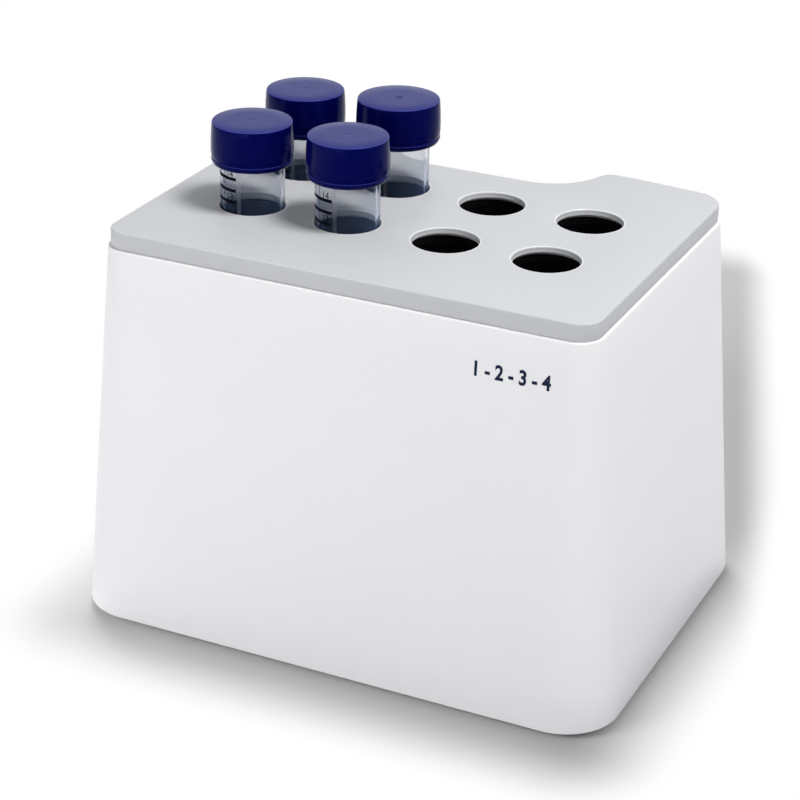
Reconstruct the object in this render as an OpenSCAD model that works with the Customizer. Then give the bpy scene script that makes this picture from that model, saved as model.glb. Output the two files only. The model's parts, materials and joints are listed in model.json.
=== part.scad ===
// Dry block heater for eight 15 mL tubes: a flared moulded casing, a flat
// cover plate with eight wells, a segmented heating block and four capped tubes.
// Frame: origin on the table under the middle of the base, Z up, X along the
// long side. The long plain side faces -Y and the control panel faces +Y.

/* [Casing] */
// Width of the casing at its foot
base_w = 150.8; // [130:0.1:180]
// Depth of the casing at its foot
base_d = 113.9; // [100:0.1:140]
// Height of the cover's top face above the casing's foot
body_h = 107.1; // [90:0.1:125]
// Corner radius of the casing at its foot
base_r = 15.1; // [8:0.1:24]
// Wall thickness of the casing and the cover's skirt
wall = 2.5; // [1.8:0.1:4]
// How far the casing's rim stands out past the cover plate
rim_step = 0.65; // [0.3:0.05:1.5]
// Height of the rubber feet below the casing
foot_h = 1.5; // [1:0.1:5]

/* [Cover plate] */
// Width of the cover plate
plate_w = 131.8; // [120:0.1:150]
// Distance from the middle of the base to the plate's plain front edge
plate_front = 49.85; // [44:0.05:60]
// Distance from the middle of the base to the top of the bowed rear edge
plate_rear = 51.35; // [44:0.05:60]
// Height of the cover's edge
plate_h = 4.7; // [3:0.1:8]
// Thickness of the cover's top skin
skin = 2.2; // [1.5:0.1:4]
// Corner radius at the front of the plate
plate_rf = 6; // [3:0.5:12]
// Corner radius at the rear of the plate
plate_rr = 9; // [3:0.5:14]
// Curvature of the bowed rear edge, per mm
bow = 0.0011; // [0:0.0001:0.003]

/* [Rear recess] */
// Distance from the middle of the base to the recess floor at the top
recess_y = 34.0; // [30:0.1:45]
// Half width of the flat part of the recess floor
recess_x = 14.2; // [8:0.1:24]
// Radius of the inner curve of the recess
recess_r = 16.2; // [6:0.1:24]
// Radius of the two ears beside the recess
ear_r = 4; // [3.2:0.1:8]

/* [Wells] */
// Spacing of the wells along X
pitch_x = 27.2; // [24:0.1:32]
// Spacing of the wells along Y
pitch_y = 29.4; // [24:0.1:36]
// Sideways offset of the well grid from the middle of the base
grid_x = -0.5; // [-5:0.1:5]
// Front to back offset of the well grid from the middle of the base
grid_y = -1.25; // [-5:0.05:5]
// Radius of a well
well_r = 8.6; // [8.4:0.05:9.5]
// Wall left between the outer wells and the faces of the block
block_edge = 4.9; // [3:0.1:8]

/* [Tubes and caps] */
// Outer radius of a tube
tube_r = 8.3; // [8:0.05:8.5]
// Wall thickness of a tube
tube_wall = 1; // [0.7:0.05:1.6]
// Length of a tube
tube_len = 117; // [100:1:125]
// Length of the conical end of a tube
cone_len = 22; // [10:1:28]
// Outer radius of a screw cap
cap_r = 10.65; // [10:0.05:12]
// Height of a screw cap
cap_h = 11; // [9:0.1:14]
// Height of a closed cap's lower edge above the cover plate
cap_rise = 11.7; // [5:0.1:20]
// Pitch of the cap's thread
thread_pitch = 3.2; // [2:0.1:4]
// Turn by which the cap of tube 4 stands loosened, in degrees
loose_turn = 200; // [0:10:360]

/* [Controls] */
// Radius of a key
key_r = 3.6; // [3:0.1:5]
// Width of the display window
window_w = 20; // [14:0.5:22]
// Height of the display window
window_h = 13; // [8:0.5:16]
// Tilt of the switch's rocker at rest, in degrees
rocker_tilt = 8; // [4:1:12]

/* [Hidden] */
$fn = 64;
eps = 0.01;
z_base = foot_h;
z_top = foot_h + body_h;
z_rim = z_top - plate_h;
z_skin = z_top - skin;
pad_h = 1.6;
z_block_top = z_skin - pad_h;
tube_mouth = z_top + cap_rise + 8.7;
tube_tip = tube_mouth - tube_len;
well_tip = tube_tip - 0.3;
z_block = well_tip - 3.1;
block_x0 = grid_x - 2 * pitch_x;
block_len = 4 * pitch_x;
block_y0 = grid_y - pitch_y / 2 - well_r - block_edge + 1.5;
block_y1 = grid_y + pitch_y / 2 + well_r + block_edge - 1.5;
col_x = [for (i = [0:3]) grid_x + (i - 1.5) * pitch_x];
row_y = [grid_y - pitch_y / 2, grid_y + pitch_y / 2];
mat_t = 0.8;
clamp_t = 1.2;
z_mat = z_block - mat_t;
z_clamp = z_mat - clamp_t;
plate_t = 2;
z_plate = z_base + 0.5;
tilt_end = atan((base_w / 2 - plate_w / 2 - rim_step) / (z_rim - z_base));
tilt_rear = atan((base_d / 2 - recess_y - rim_step) / (z_rim - z_base));
lift_4 = thread_pitch * loose_turn / 360;
rods = [[-58.5, -41], [58.5, -41], [-50, 39], [50, 39]];
board_holes = [[-40, 22], [40, 22], [-40, 68], [40, 68]];
board_y = -46.8;
key_s = [2, -9, -20];
display_s = 17;
z_panel = 57;
z_switch = 55;
z_inlet = 28;

// ---- outlines ----

function arc(cx, cy, r, a0, a1, n) =
    [for (i = [0:n]) let (a = a0 + (a1 - a0) * i / n) [cx + r * cos(a), cy + r * sin(a)]];

function flip(pts) = [for (i = [len(pts) - 1:-1:0]) [-pts[i][0], pts[i][1]]];

// one side of the rear recess, from the ear inwards to the flat floor
function ear_end(t) =
    let (a = 20, c = [recess_x, recess_y + recess_r])
    let (p = c + (recess_r + t) * [cos(a), -sin(a)])
    let (d = [sin(a), cos(a)])
    let (q = c + recess_r * [cos(a), -sin(a)] + 2.75 * d + ear_r * [cos(a), -sin(a)])
    [p, q, c];

function recess_side(t) =
    let (e = ear_end(t))
    concat(
        arc(e[1][0], e[1][1], ear_r - t, 80, 160, 8),
        arc(e[2][0], e[2][1], recess_r + t, -20, -90, 10));

// the cover's outline moved inwards by t, counter-clockwise from the front left
function top_ring(t) =
    let (hw = plate_w / 2 - t)
    let (xr = hw - (plate_rr - t))
    let (yr = plate_rear - t - bow * xr * xr)
    let (yf = -plate_front + t)
    let (rear = concat(
        arc(xr, yr - plate_rr + t, plate_rr - t, 0, 86, 8),
        [for (i = [1:3]) let (x = xr - i * (xr - 35) / 4) [x, plate_rear - t - bow * x * x]],
        recess_side(t)))
    concat(
        arc(-hw + plate_rf - t, yf + plate_rf - t, plate_rf - t, 180, 270, 8),
        arc(hw - plate_rf + t, yf + plate_rf - t, plate_rf - t, 270, 360, 8),
        rear,
        flip(rear));

// the foot's outline with the same number of points, without the recess
function foot_rear(t) =
    let (top = recess_side(t))
    let (hw = base_w / 2 - t)
    let (r = base_r - t)
    let (k = (base_w / 2 - base_r) / (plate_w / 2 - plate_rr))
    concat(
        arc(hw - r, base_d / 2 - t - r - 1.2, r, 0, 86, 8),
        [for (i = [1:3]) let (x = hw - r - i * (hw - r - 37) / 4) [x, foot_y(x, t)]],
        [for (p = top) [p[0] * k, foot_y(p[0] * k, t)]]);

function foot_y(x, t) = base_d / 2 - t - 0.0006 * pow(max(0, abs(x) - 15.6), 2);

function foot_ring(t) =
    let (hw = base_w / 2 - t)
    let (yf = -base_d / 2 + t)
    let (r = base_r - t)
    let (rear = foot_rear(t))
    concat(
        arc(-hw + r, yf + r, r, 180, 270, 8),
        arc(hw - r, yf + r, r, 270, 360, 8),
        rear,
        flip(rear));

// the casing's outline at height z, moved inwards by t
function side_ring(z, t) =
    let (u = (z - z_base) / (z_rim - z_base))
    let (a = foot_ring(t))
    let (b = top_ring(t - rim_step))
    [for (i = [0:len(a) - 1]) a[i] + (b[i] - a[i]) * u];

function raise_ring(pts, z) = [for (p = pts) [p[0], p[1], z]];

function end_x(z) = base_w / 2 - (z - z_base) * tan(tilt_end);

function front_y(z) =
    -base_d / 2 + (base_d / 2 - plate_front - rim_step) * (z - z_base) / (z_rim - z_base);

function panel_y(z) = base_d / 2 - (z - z_base) * tan(tilt_rear);

// ---- helpers ----

// local Y is the outward normal of the sloping control panel, local Z runs up it
module on_panel() {
    translate([0, panel_y(z_panel), z_panel])
        rotate([tilt_rear, 0, 0])
            children();
}

// local Y is the outward normal of the left end, local Z runs up it
module on_left(y, z) {
    translate([-end_x(z), y, z])
        rotate([0, 0, 90])
            rotate([tilt_end, 0, 0])
                children();
}

module box(x0, x1, y0, y1, z0, z1) {
    translate([x0, y0, z0])
        cube([x1 - x0, y1 - y0, z1 - z0]);
}

// a round bar along local Y from y0 to y1
module bar_y(r, y0, y1) {
    translate([0, y0, 0])
        rotate([-90, 0, 0])
            cylinder(r = r, h = y1 - y0);
}

// a round bar along X from x0 to x1
module bar_x(r, x0, x1) {
    translate([x0, 0, 0])
        rotate([0, 90, 0])
            cylinder(r = r, h = x1 - x0);
}

// the rings of a wire's skin: each ring is carried along to the mitre plane at the next point
function unit(v) = v / norm(v);

function mitre(pts, k) =
    k == len(pts) - 1 ? unit(pts[k] - pts[k - 1]) : unit(unit(pts[k] - pts[k - 1]) + unit(pts[k + 1] - pts[k]));

function first_ring(pts, r, n) =
    let (d = unit(pts[1] - pts[0]))
    let (u = unit(cross(d, [0.31, 0.17, 0.93])))
    let (v = cross(d, u))
    [for (i = [0:n - 1]) pts[0] + r * (u * cos(360 * i / n) + v * sin(360 * i / n))];

function wire_ring(pts, r, n, k) =
    k == 0 ? first_ring(pts, r, n) :
    let (d = unit(pts[k] - pts[k - 1]))
    let (m = mitre(pts, k))
    [for (q = wire_ring(pts, r, n, k - 1)) q + d * (((pts[k] - q) * m) / (d * m))];

// a round wire through a list of points, with mitred corners
module wire(pts, r) {
    n = 12;
    last = len(pts) - 1;
    polyhedron(
        points = [for (k = [0:last]) each wire_ring(pts, r, n, k)],
        faces = concat(
            [[for (i = [0:n - 1]) i]],
            [for (k = [0:last - 1])
                for (i = [0:n - 1])
                    for (f = [0, 1])
                        let (j = (i + 1) % n)
                        let (a = k * n, b = (k + 1) * n)
                        f == 0 ? [a + i, b + i, b + j] : [a + i, b + j, a + j]],
            [[for (i = [n - 1:-1:0]) last * n + i]]));
}

module well_grid(r, z0, z1) {
    for (x = col_x)
        for (y = row_y)
            translate([x, y, z0])
                cylinder(r = r, h = z1 - z0);
}

// ---- outer casing ----

module shell() {
    n = len(top_ring(0));
    z_lip = z_rim;
    rings = concat(
        raise_ring(side_ring(z_base, 0), z_base),
        raise_ring(side_ring(z_lip, 0), z_lip),
        raise_ring(side_ring(z_lip, wall), z_lip),
        raise_ring(side_ring(z_base, wall), z_base));
    polyhedron(
        points = rings,
        faces = [
            for (k = [0:3])
                for (i = [0:n - 1])
                    for (f = [0, 1])
                        let (j = (i + 1) % n)
                        let (a = k * n, b = ((k + 1) % 4) * n)
                        f == 0 ? [a + i, b + i, b + j] : [a + i, b + j, a + j]
        ]);
}

module casing() {
    color([0.9, 0.9, 0.92])
        difference() {
            union() {
                shell();
                for (p = board_holes)
                    translate([p[0], 0, p[1]])
                        bar_y(3, front_y(p[1]) + wall / 2, board_y);
                for (s = [-1, 1])
                    for (y = [-30, 30])
                        translate([s * 69.8, y, z_plate + plate_t + 2])
                            cube([7.6, 10, 4], center = true);
            }
            for (p = board_holes)
                translate([p[0], 0, p[1]])
                    bar_y(1.25, front_y(p[1]) + wall, board_y + 1);
            for (s = [-1, 1])
                for (y = [-30, 30])
                    translate([s * 68.5, y, z_plate - 1])
                        cylinder(r = 1.25, h = 6.5);
            on_panel() {
                translate([-12.6, -1.2, -28.1])
                    cube([25.2, 3, 56.2]);
                translate([-9, -8, display_s - 5.5])
                    cube([18, 8, 11]);
                for (s = key_s)
                    translate([0, 0, s])
                        bar_y(key_r + 0.35, -8, 2);
            }
            on_left(31, z_switch)
                translate([-6.2, -8, -8.9])
                    cube([12.4, 12, 17.8]);
            on_left(31, z_inlet)
                bar_y(5.6, -8, 4);
        }
}

module cover_plate() {
    color([0.8, 0.81, 0.82])
        difference() {
            union() {
                translate([0, 0, z_skin])
                    linear_extrude(height = skin)
                        polygon(top_ring(0));
                translate([0, 0, z_rim])
                    linear_extrude(height = plate_h)
                        difference() {
                            polygon(top_ring(0));
                            polygon(top_ring(wall));
                        }
                translate([0, 0, z_rim - 2.6])
                    linear_extrude(height = 3)
                        difference() {
                            polygon(top_ring(wall - rim_step + 0.35));
                            polygon(top_ring(wall + 1.2));
                        }
                for (p = rods)
                    translate([p[0], p[1], z_skin - 5])
                        cylinder(r = 4, h = 5.5);
            }
            well_grid(well_r, z_rim - 5, z_top + 1);
            for (p = rods)
                translate([p[0], p[1], z_skin - 6])
                    cylinder(r = 2.5, h = 5.5);
        }
}

module base_plate() {
    color([0.25, 0.26, 0.28])
        difference() {
            translate([0, 0, z_plate])
                linear_extrude(height = plate_t)
                    polygon(side_ring(z_plate, wall + 0.4));
            for (s = [-1, 1])
                for (y = [-30, 30])
                    translate([s * 68.5, y, z_plate - 1])
                        cylinder(r = 1.7, h = 4);
            for (p = rods)
                translate([p[0], p[1], z_plate - 1])
                    cylinder(r = 1.6, h = 4);
            for (x = [-48, 48])
                for (y = [-22, 22])
                    translate([grid_x + x, grid_y + y, z_plate - 1])
                        cylinder(r = 1.6, h = 4);
            for (i = [-5:5])
                for (y = [-40, 36])
                    translate([i * 8, y, z_plate - 1])
                        linear_extrude(height = 4)
                            square([3, 12], center = true);
        }
}

module rubber_feet() {
    color([0.1, 0.1, 0.11])
        for (x = [-58, 58])
            for (y = [-30, 32])
                translate([x, y, 0]) {
                    cylinder(r1 = 5.6, r2 = 6.2, h = 1);
                    translate([0, 0, 1])
                        cylinder(r = 6.2, h = z_plate - 1);
                }
}

// a socket-headed screw from below, with its shaft up to height h
module screw_up(h) {
    difference() {
        union() {
            translate([0, 0, -0.9])
                cylinder(r = 2.6, h = 0.9);
            cylinder(r = 1.2, h = h);
        }
        translate([0, 0, -1.5])
            cylinder(r = 1, h = 1.2, $fn = 6);
    }
}

module base_screws() {
    color([0.6, 0.61, 0.63]) {
        for (s = [-1, 1])
            for (y = [-30, 30])
                translate([s * 68.5, y, z_plate])
                    screw_up(5);
        for (p = rods)
            translate([p[0], p[1], z_plate])
                screw_up(9);
        for (x = [-48, 48])
            for (y = [-22, 22])
                translate([grid_x + x, grid_y + y, z_plate])
                    screw_up(z_block - z_plate + 4);
    }
}

module tie_rods() {
    color([0.7, 0.71, 0.73])
        for (p = rods)
            translate([p[0], p[1], 0])
                difference() {
                    translate([0, 0, z_plate + plate_t])
                        cylinder(r = 2.45, h = z_skin - 0.6 - z_plate - plate_t);
                    translate([0, 0, z_plate + plate_t - 1])
                        cylinder(r = 1.25, h = 10);
                }
}

// ---- heating block ----

module top_gasket() {
    color([0.06, 0.06, 0.07])
        difference() {
            box(block_x0, block_x0 + block_len, block_y0, block_y1, z_block_top, z_skin);
            well_grid(well_r + 0.15, z_block_top - 1, z_skin + 1);
        }
}

module well_cut(x, y) {
    translate([x, y, 0]) {
        translate([0, 0, well_tip + cone_len])
            cylinder(r = well_r, h = z_block_top - well_tip - cone_len + 1);
        translate([0, 0, well_tip])
            cylinder(r1 = 2.6, r2 = well_r, h = cone_len + eps);
    }
}

// one segment of the block, with the front and rear well of column i
module block_segment(i) {
    x0 = block_x0 + i * pitch_x;
    color([0.1, 0.1, 0.11])
        difference() {
            box(x0 + 0.05, x0 + pitch_x - 0.05, block_y0, block_y1, z_block, z_block_top);
            for (y = row_y)
                well_cut(col_x[i], y);
            translate([col_x[i], grid_y, z_block - 1])
                cylinder(r = 1.25, h = 9);
            if (i == 0)
                translate([0, grid_y, 62])
                    bar_x(2.1, x0 - 1, x0 + 26);
            if (i == 0)
                for (y = [-11, 11])
                    translate([0, grid_y + y, 34])
                        bar_x(1.05, x0 - 1, x0 + 3);
            if (i == 0 || i == 3)
                for (y = [-22, 22])
                    translate([grid_x + (i == 0 ? -48 : 48), grid_y + y, z_block - 1])
                        cylinder(r = 1.25, h = 6);
        }
}

module block_1() {
    block_segment(0);
}

module block_2() {
    block_segment(1);
}

module block_3() {
    block_segment(2);
}

module block_4() {
    block_segment(3);
}

module heating_mat() {
    color([0.8, 0.35, 0.15])
        difference() {
            box(grid_x - 46, grid_x + 46, grid_y - 17, grid_y + 17, z_mat, z_block);
            for (x = col_x)
                translate([x, grid_y, z_mat - 1])
                    cylinder(r = 2, h = 3);
        }
}

module mat_clamp() {
    color([0.72, 0.73, 0.75])
        difference() {
            box(grid_x - 46, grid_x + 46, grid_y - 17, grid_y + 17, z_clamp, z_mat);
            for (x = col_x)
                translate([x, grid_y, z_clamp - 1])
                    cylinder(r = 1.7, h = 3);
        }
}

module clamp_screws() {
    color([0.6, 0.61, 0.63])
        for (x = col_x)
            translate([x, grid_y, z_clamp])
                difference() {
                    union() {
                        translate([0, 0, -1.2])
                            cylinder(r = 2.6, h = 1.2);
                        cylinder(r = 1.2, h = 8);
                    }
                    translate([0, 0, -1.6])
                        cylinder(r = 1, h = 1.2, $fn = 6);
                }
}

module block_pillars() {
    color([0.85, 0.83, 0.76])
        for (x = [-48, 48])
            for (y = [-22, 22])
                translate([grid_x + x, grid_y + y, z_plate + plate_t])
                    difference() {
                        cylinder(r = 3.5, h = z_block - z_plate - plate_t);
                        translate([0, 0, -1])
                            cylinder(r = 1.6, h = 12);
                    }
}

module insulation_front() {
    color([0.86, 0.84, 0.78])
        box(block_x0, block_x0 + block_len, block_y0 - 4, block_y0, z_block, z_block_top - 6);
}

module insulation_rear() {
    color([0.86, 0.84, 0.78])
        box(block_x0, block_x0 + block_len, block_y1, block_y1 + 4, z_block, z_block_top - 6);
}

module insulation_left() {
    color([0.86, 0.84, 0.78])
        difference() {
            box(block_x0 - 4, block_x0, block_y0, block_y1, z_block, z_block_top - 6);
            translate([0, grid_y, 62])
                bar_x(2.3, block_x0 - 5, block_x0 + 1);
            box(block_x0 - 5, block_x0 + 1, grid_y - 14.4, grid_y + 14.4, 25, 43);
        }
}

module insulation_right() {
    x = block_x0 + block_len;
    color([0.86, 0.84, 0.78])
        box(x, x + 4, block_y0, block_y1, z_block, z_block_top - 6);
}

module insulation_floor() {
    color([0.86, 0.84, 0.78])
        difference() {
            box(grid_x - 43, grid_x + 43, grid_y - 17, grid_y + 17, z_plate + plate_t, z_clamp - 0.3);
            for (x = col_x)
                translate([x, grid_y, z_plate])
                    cylinder(r = 3.2, h = 8);
        }
}

module temperature_probe() {
    color([0.75, 0.76, 0.78])
        translate([0, grid_y, 62]) {
            bar_x(2, block_x0 - 6, block_x0 + 23);
            translate([block_x0 + 23, 0, 0])
                sphere(r = 2);
        }
}

module thermal_cutout() {
    color([0.15, 0.15, 0.16])
        translate([0, grid_y, 34])
            difference() {
                union() {
                    bar_x(7.5, block_x0 - 7, block_x0);
                    box(block_x0 - 1, block_x0, -14, 14, -3.5, 3.5);
                    for (y = [-3.5, 3.5])
                        box(block_x0 - 11, block_x0 - 7, y - 0.4, y + 0.4, -2, 2);
                }
                for (y = [-11, 11])
                    translate([0, y, 0])
                        bar_x(1.4, block_x0 - 2, block_x0 + 1);
            }
}

module cutout_screws() {
    color([0.6, 0.61, 0.63])
        for (y = [-11, 11])
            translate([0, grid_y + y, 34]) {
                bar_x(2.2, block_x0 - 2.5, block_x0 - 1);
                bar_x(1, block_x0 - 1, block_x0 + 2.5);
            }
}

// ---- electronics ----

module power_board() {
    color([0.07, 0.32, 0.16])
        difference() {
            box(-46, 46, board_y, board_y + 1.6, 16, 74);
            for (p = board_holes)
                translate([p[0], 0, p[1]])
                    bar_y(1.6, board_y - 1, board_y + 3);
        }
}

module power_parts() {
    y = board_y + 1.6;
    color([0.12, 0.12, 0.14]) {
        for (x = [-26, -15])
            translate([x, 0, 62])
                bar_y(4, y, y + 9);
        box(-4, 8, y, y + 7, 54, 68);
        box(16, 30, y, y + 6, 56, 66);
        box(-30, -16, y, y + 5, 20, 28);
        box(-6, 6, y, y + 2, 24, 36);
        box(22, 34, y, y + 5, 20, 28);
    }
}

module heat_spreader() {
    y = board_y + 1.6;
    color([0.7, 0.71, 0.73]) {
        box(-8, 12, y, y + 1.5, 40, 50);
        for (i = [0:4])
            box(-8 + i * 4.6, -6.4 + i * 4.6, y + 1.5, y + 8, 40, 50);
    }
}

module board_screws() {
    color([0.6, 0.61, 0.63])
        for (p = board_holes)
            translate([p[0], 0, p[1]]) {
                bar_y(2.5, board_y + 1.6, board_y + 3);
                bar_y(1.2, board_y - 2.2, board_y + 1.6);
            }
}

module control_board() {
    color([0.07, 0.32, 0.16])
        on_panel()
            difference() {
                translate([-12.5, -8.6, -25])
                    cube([25, 1.6, 50]);
                for (x = [-10.3, 10.3])
                    for (s = [-22.5, 6])
                        translate([x, 0, s])
                            bar_y(1.3, -10, -6);
            }
}

module board_posts() {
    color([0.78, 0.79, 0.8])
        on_panel()
            for (x = [-10.3, 10.3])
                for (s = [-22.5, 6])
                    translate([x, 0, s]) {
                        bar_y(1.2, -8.6, -7);
                        bar_y(1.9, -7, -wall);
                        bar_y(2, -9.6, -8.6);
                    }
}

module key_switches() {
    color([0.2, 0.2, 0.22])
        on_panel()
            for (s = key_s)
                translate([0, 0, s]) {
                    translate([-3, -7, -3])
                        cube([6, 2, 6]);
                    bar_y(1.6, -5, -4.5);
                }
}

module display_module() {
    color([0.1, 0.1, 0.11])
        on_panel()
            difference() {
                translate([-11, -7, display_s - 7])
                    cube([22, 4.2, 14]);
                translate([-8.5, -3, display_s - 5])
                    cube([17, 1, 10]);
            }
}

module display_digits() {
    color([0.9, 0.2, 0.12])
        on_panel()
            for (k = [-1, 0, 1])
                translate([k * 5, 0, display_s])
                    for (m = [0:6]) {
                        v = m < 4;
                        x = v ? (m % 2 == 0 ? -1.6 : 1.6) : 0;
                        z = v ? (m < 2 ? 1.8 : -1.8) : (m - 5) * 3.6;
                        translate([x - (v ? 0.3 : 1.1), -3, z - (v ? 1.3 : 0.3)])
                            cube([v ? 0.6 : 2.2, 0.15, v ? 2.6 : 0.6]);
                    }
}

module control_panel() {
    color([0.16, 0.18, 0.22])
        on_panel()
            difference() {
                translate([-12.4, -1.2, -27.9])
                    cube([24.8, 1.4, 55.8]);
                translate([-window_w / 2, -2, display_s - window_h / 2])
                    cube([window_w, 4, window_h]);
                for (s = key_s)
                    translate([0, 0, s])
                        bar_y(key_r + 0.35, -3, 2);
            }
}

module display_window() {
    color([0.25, 0.05, 0.05, 0.5])
        on_panel()
            translate([-window_w / 2 + 0.1, -1.2, display_s - window_h / 2 + 0.1])
                cube([window_w - 0.2, 1.2, window_h - 0.2]);
}

module key_shape(s) {
    color([0.75, 0.76, 0.78])
        on_panel()
            translate([0, 0, s]) {
                bar_y(key_r, -3, 0.8);
                translate([0, 0.8, 0])
                    rotate([-90, 0, 0])
                        cylinder(r1 = key_r, r2 = key_r - 0.5, h = 0.5);
                bar_y(key_r + 1, -3.6, -2.9);
            }
}

module key_set() {
    key_shape(key_s[0]);
}

module key_up() {
    key_shape(key_s[1]);
}

module key_down() {
    key_shape(key_s[2]);
}

// ---- power entry on the left end ----

module switch_housing() {
    color([0.08, 0.08, 0.09])
        on_left(31, z_switch)
            difference() {
                union() {
                    translate([-7, 0, -10])
                        cube([14, 1.4, 20]);
                    translate([-6, -11, -8.7])
                        cube([12, 11 + eps, 17.4]);
                }
                translate([-4.6, -8.4, -7.3])
                    cube([9.2, 12, 14.6]);
                translate([0, -3, 0])
                    bar_x(1.05, -5.7, 5.7);
            }
}

module switch_blades() {
    color([0.8, 0.65, 0.3])
        on_left(31, z_switch)
            for (s = [-5, 5])
                translate([-2.4, -15.2, s - 0.4])
                    cube([4.8, 4.2, 0.8]);
}

module power_rocker() {
    color([0.14, 0.14, 0.15])
        on_left(31, z_switch)
            translate([0, -3, 0])
                rotate([rocker_tilt, 0, 0]) {
                    translate([-4.3, 0, 0])
                        rotate([90, 0, 90])
                            linear_extrude(height = 8.6)
                                polygon([
                                    [-4, -3.2], [-4, 3.2], [1.2, 6.4], [4.6, 6.4],
                                    [3.4, 0], [4.6, -6.4], [1.2, -6.4]]);
                    bar_x(1, -5.3, 5.3);
                }
}

module dc_inlet() {
    color([0.1, 0.1, 0.11])
        on_left(31, z_inlet) {
            difference() {
                union() {
                    bar_y(5.3, -13, 1.8);
                    bar_y(7, -4, -wall);
                }
                bar_y(2.8, -7.5, 4);
            }
        }
}

module inlet_nut() {
    color([0.75, 0.76, 0.78])
        on_left(31, z_inlet)
            difference() {
                rotate([-90, 0, 0])
                    cylinder(r = 7.2, h = 1.5, $fn = 6);
                bar_y(5.32, -1, 3);
            }
}

module inlet_pin() {
    color([0.8, 0.65, 0.3])
        on_left(31, z_inlet) {
            bar_y(1.05, -7.5, 0.8);
            translate([-1.5, -16, 2])
                cube([3, 3, 0.8]);
            translate([-1.5, -16, -2.8])
                cube([3, 3, 0.8]);
        }
}

// ---- leads ----

module heater_lead() {
    color([0.75, 0.75, 0.75])
        wire([[30, grid_y - 17.4, z_mat - 0.6], [30, -37, z_mat - 0.6], [28, -38, 18], [28, -38.9, 24]], 0.9);
}

module sensor_lead() {
    color([0.85, 0.85, 0.82])
        wire([[block_x0 - 6.05, grid_y, 62], [block_x0 - 8.2, grid_y, 62], [-63.5, -20, 56],
            [-61, -36, 44], [-48, -38.2, 36], [-33, -39, 26], [-31.2, -41.4, 24.4]], 0.9);
}

// the supply wires from the inlet to the switch and on to the power board
module power_lead() {
    color([0.7, 0.1, 0.1]) {
        wire([[-55.9, 31, 30.3], [-52, 33, 38], [-51.5, 32, 57], [-54.2, 31, 58.6]], 0.9);
        wire([[-54.9, 31.2, 48.7], [-57, 31, 40], [-62, 22, 34], [-65, 0, 22], [-62, -34, 24],
            [-50, -41, 30], [-10, -41, 31.5], [-3, -42.2, 31.5]], 0.9);
    }
}

module control_lead() {
    color([0.3, 0.3, 0.32])
        wire([[8, 39.2, 36], [8, 40, 12], [52, 34, 10], [63.5, 26, 14], [65, -22, 20],
            [53, -38.5, 24], [34.3, -41.5, 26]], 0.9);
}

// ---- tubes and caps ----

module tube(x, y) {
    color([0.85, 0.88, 0.92, 0.4])
        translate([x, y, tube_tip]) {
            difference() {
                rotate_extrude()
                    polygon([
                        [0, 0], [1.8, 0], [2.4, 0.6], [tube_r, cone_len], [tube_r, tube_len],
                        [tube_r - tube_wall, tube_len], [tube_r - tube_wall, cone_len + 0.4],
                        [1.4, 1.5], [0, 1.3]]);
            }
            for (z = [2.2, 4.6])
                translate([0, 0, tube_len - z])
                    rotate_extrude()
                        polygon([[tube_r - 0.3, -0.8], [tube_r, -0.8], [tube_r + 0.9, -0.25],
                            [tube_r + 0.9, 0.25], [tube_r, 0.8], [tube_r - 0.3, 0.8]]);
        }
}

module tube_1() {
    tube(col_x[0], row_y[0]);
}

module tube_2() {
    tube(col_x[0], row_y[1]);
}

module tube_3() {
    tube(col_x[1], row_y[0]);
}

module tube_4() {
    tube(col_x[1], row_y[1]);
}

module seal(x, y, lift) {
    color([0.85, 0.85, 0.83])
        translate([x, y, tube_mouth + 0.3 + lift])
            cylinder(r = tube_r + 0.7, h = 0.6);
}

module cap_seal_1() {
    seal(col_x[0], row_y[0], 0);
}

module cap_seal_2() {
    seal(col_x[0], row_y[1], 0);
}

module cap_seal_3() {
    seal(col_x[1], row_y[0], 0);
}

module cap_seal_4() {
    seal(col_x[1], row_y[1], lift_4);
}

module screw_cap(x, y, lift) {
    bore = tube_r + 1;
    color([0.06, 0.09, 0.45])
        translate([x, y, z_top + cap_rise + lift])
            rotate_extrude()
                polygon([
                    [bore, 0], [cap_r - 0.6, 0], [cap_r - 0.2, 0.7], [cap_r - 0.07, 1.4],
                    [cap_r - 0.19, 1.7], [cap_r - 0.03, 2.6], [cap_r, 4.5], [cap_r - 0.1, 8],
                    [cap_r - 0.3, cap_h - 0.6], [cap_r - 0.42, cap_h - 0.2], [cap_r - 0.75, cap_h],
                    [0.8, cap_h], [0.7, cap_h - 0.12], [0, cap_h - 0.12], [0, cap_h - 1.1],
                    [bore, cap_h - 1.1]]);
}

module cap_1() {
    screw_cap(col_x[0], row_y[0], 0);
}

module cap_2() {
    screw_cap(col_x[0], row_y[1], 0);
}

module cap_3() {
    screw_cap(col_x[1], row_y[0], 0);
}

module cap_4() {
    screw_cap(col_x[1], row_y[1], lift_4);
}

casing();
cover_plate();
base_plate();
rubber_feet();
base_screws();
tie_rods();
top_gasket();
block_1();
block_2();
block_3();
block_4();
heating_mat();
mat_clamp();
clamp_screws();
block_pillars();
insulation_front();
insulation_rear();
insulation_left();
insulation_right();
insulation_floor();
temperature_probe();
thermal_cutout();
cutout_screws();
power_board();
power_parts();
heat_spreader();
board_screws();
control_board();
board_posts();
key_switches();
display_module();
display_digits();
control_panel();
display_window();
key_set();
key_up();
key_down();
switch_housing();
switch_blades();
power_rocker();
dc_inlet();
inlet_nut();
inlet_pin();
heater_lead();
sensor_lead();
power_lead();
control_lead();
tube_1();
tube_2();
tube_3();
tube_4();
cap_seal_1();
cap_seal_2();
cap_seal_3();
cap_seal_4();
cap_1();
cap_2();
cap_3();
cap_4();
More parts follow.
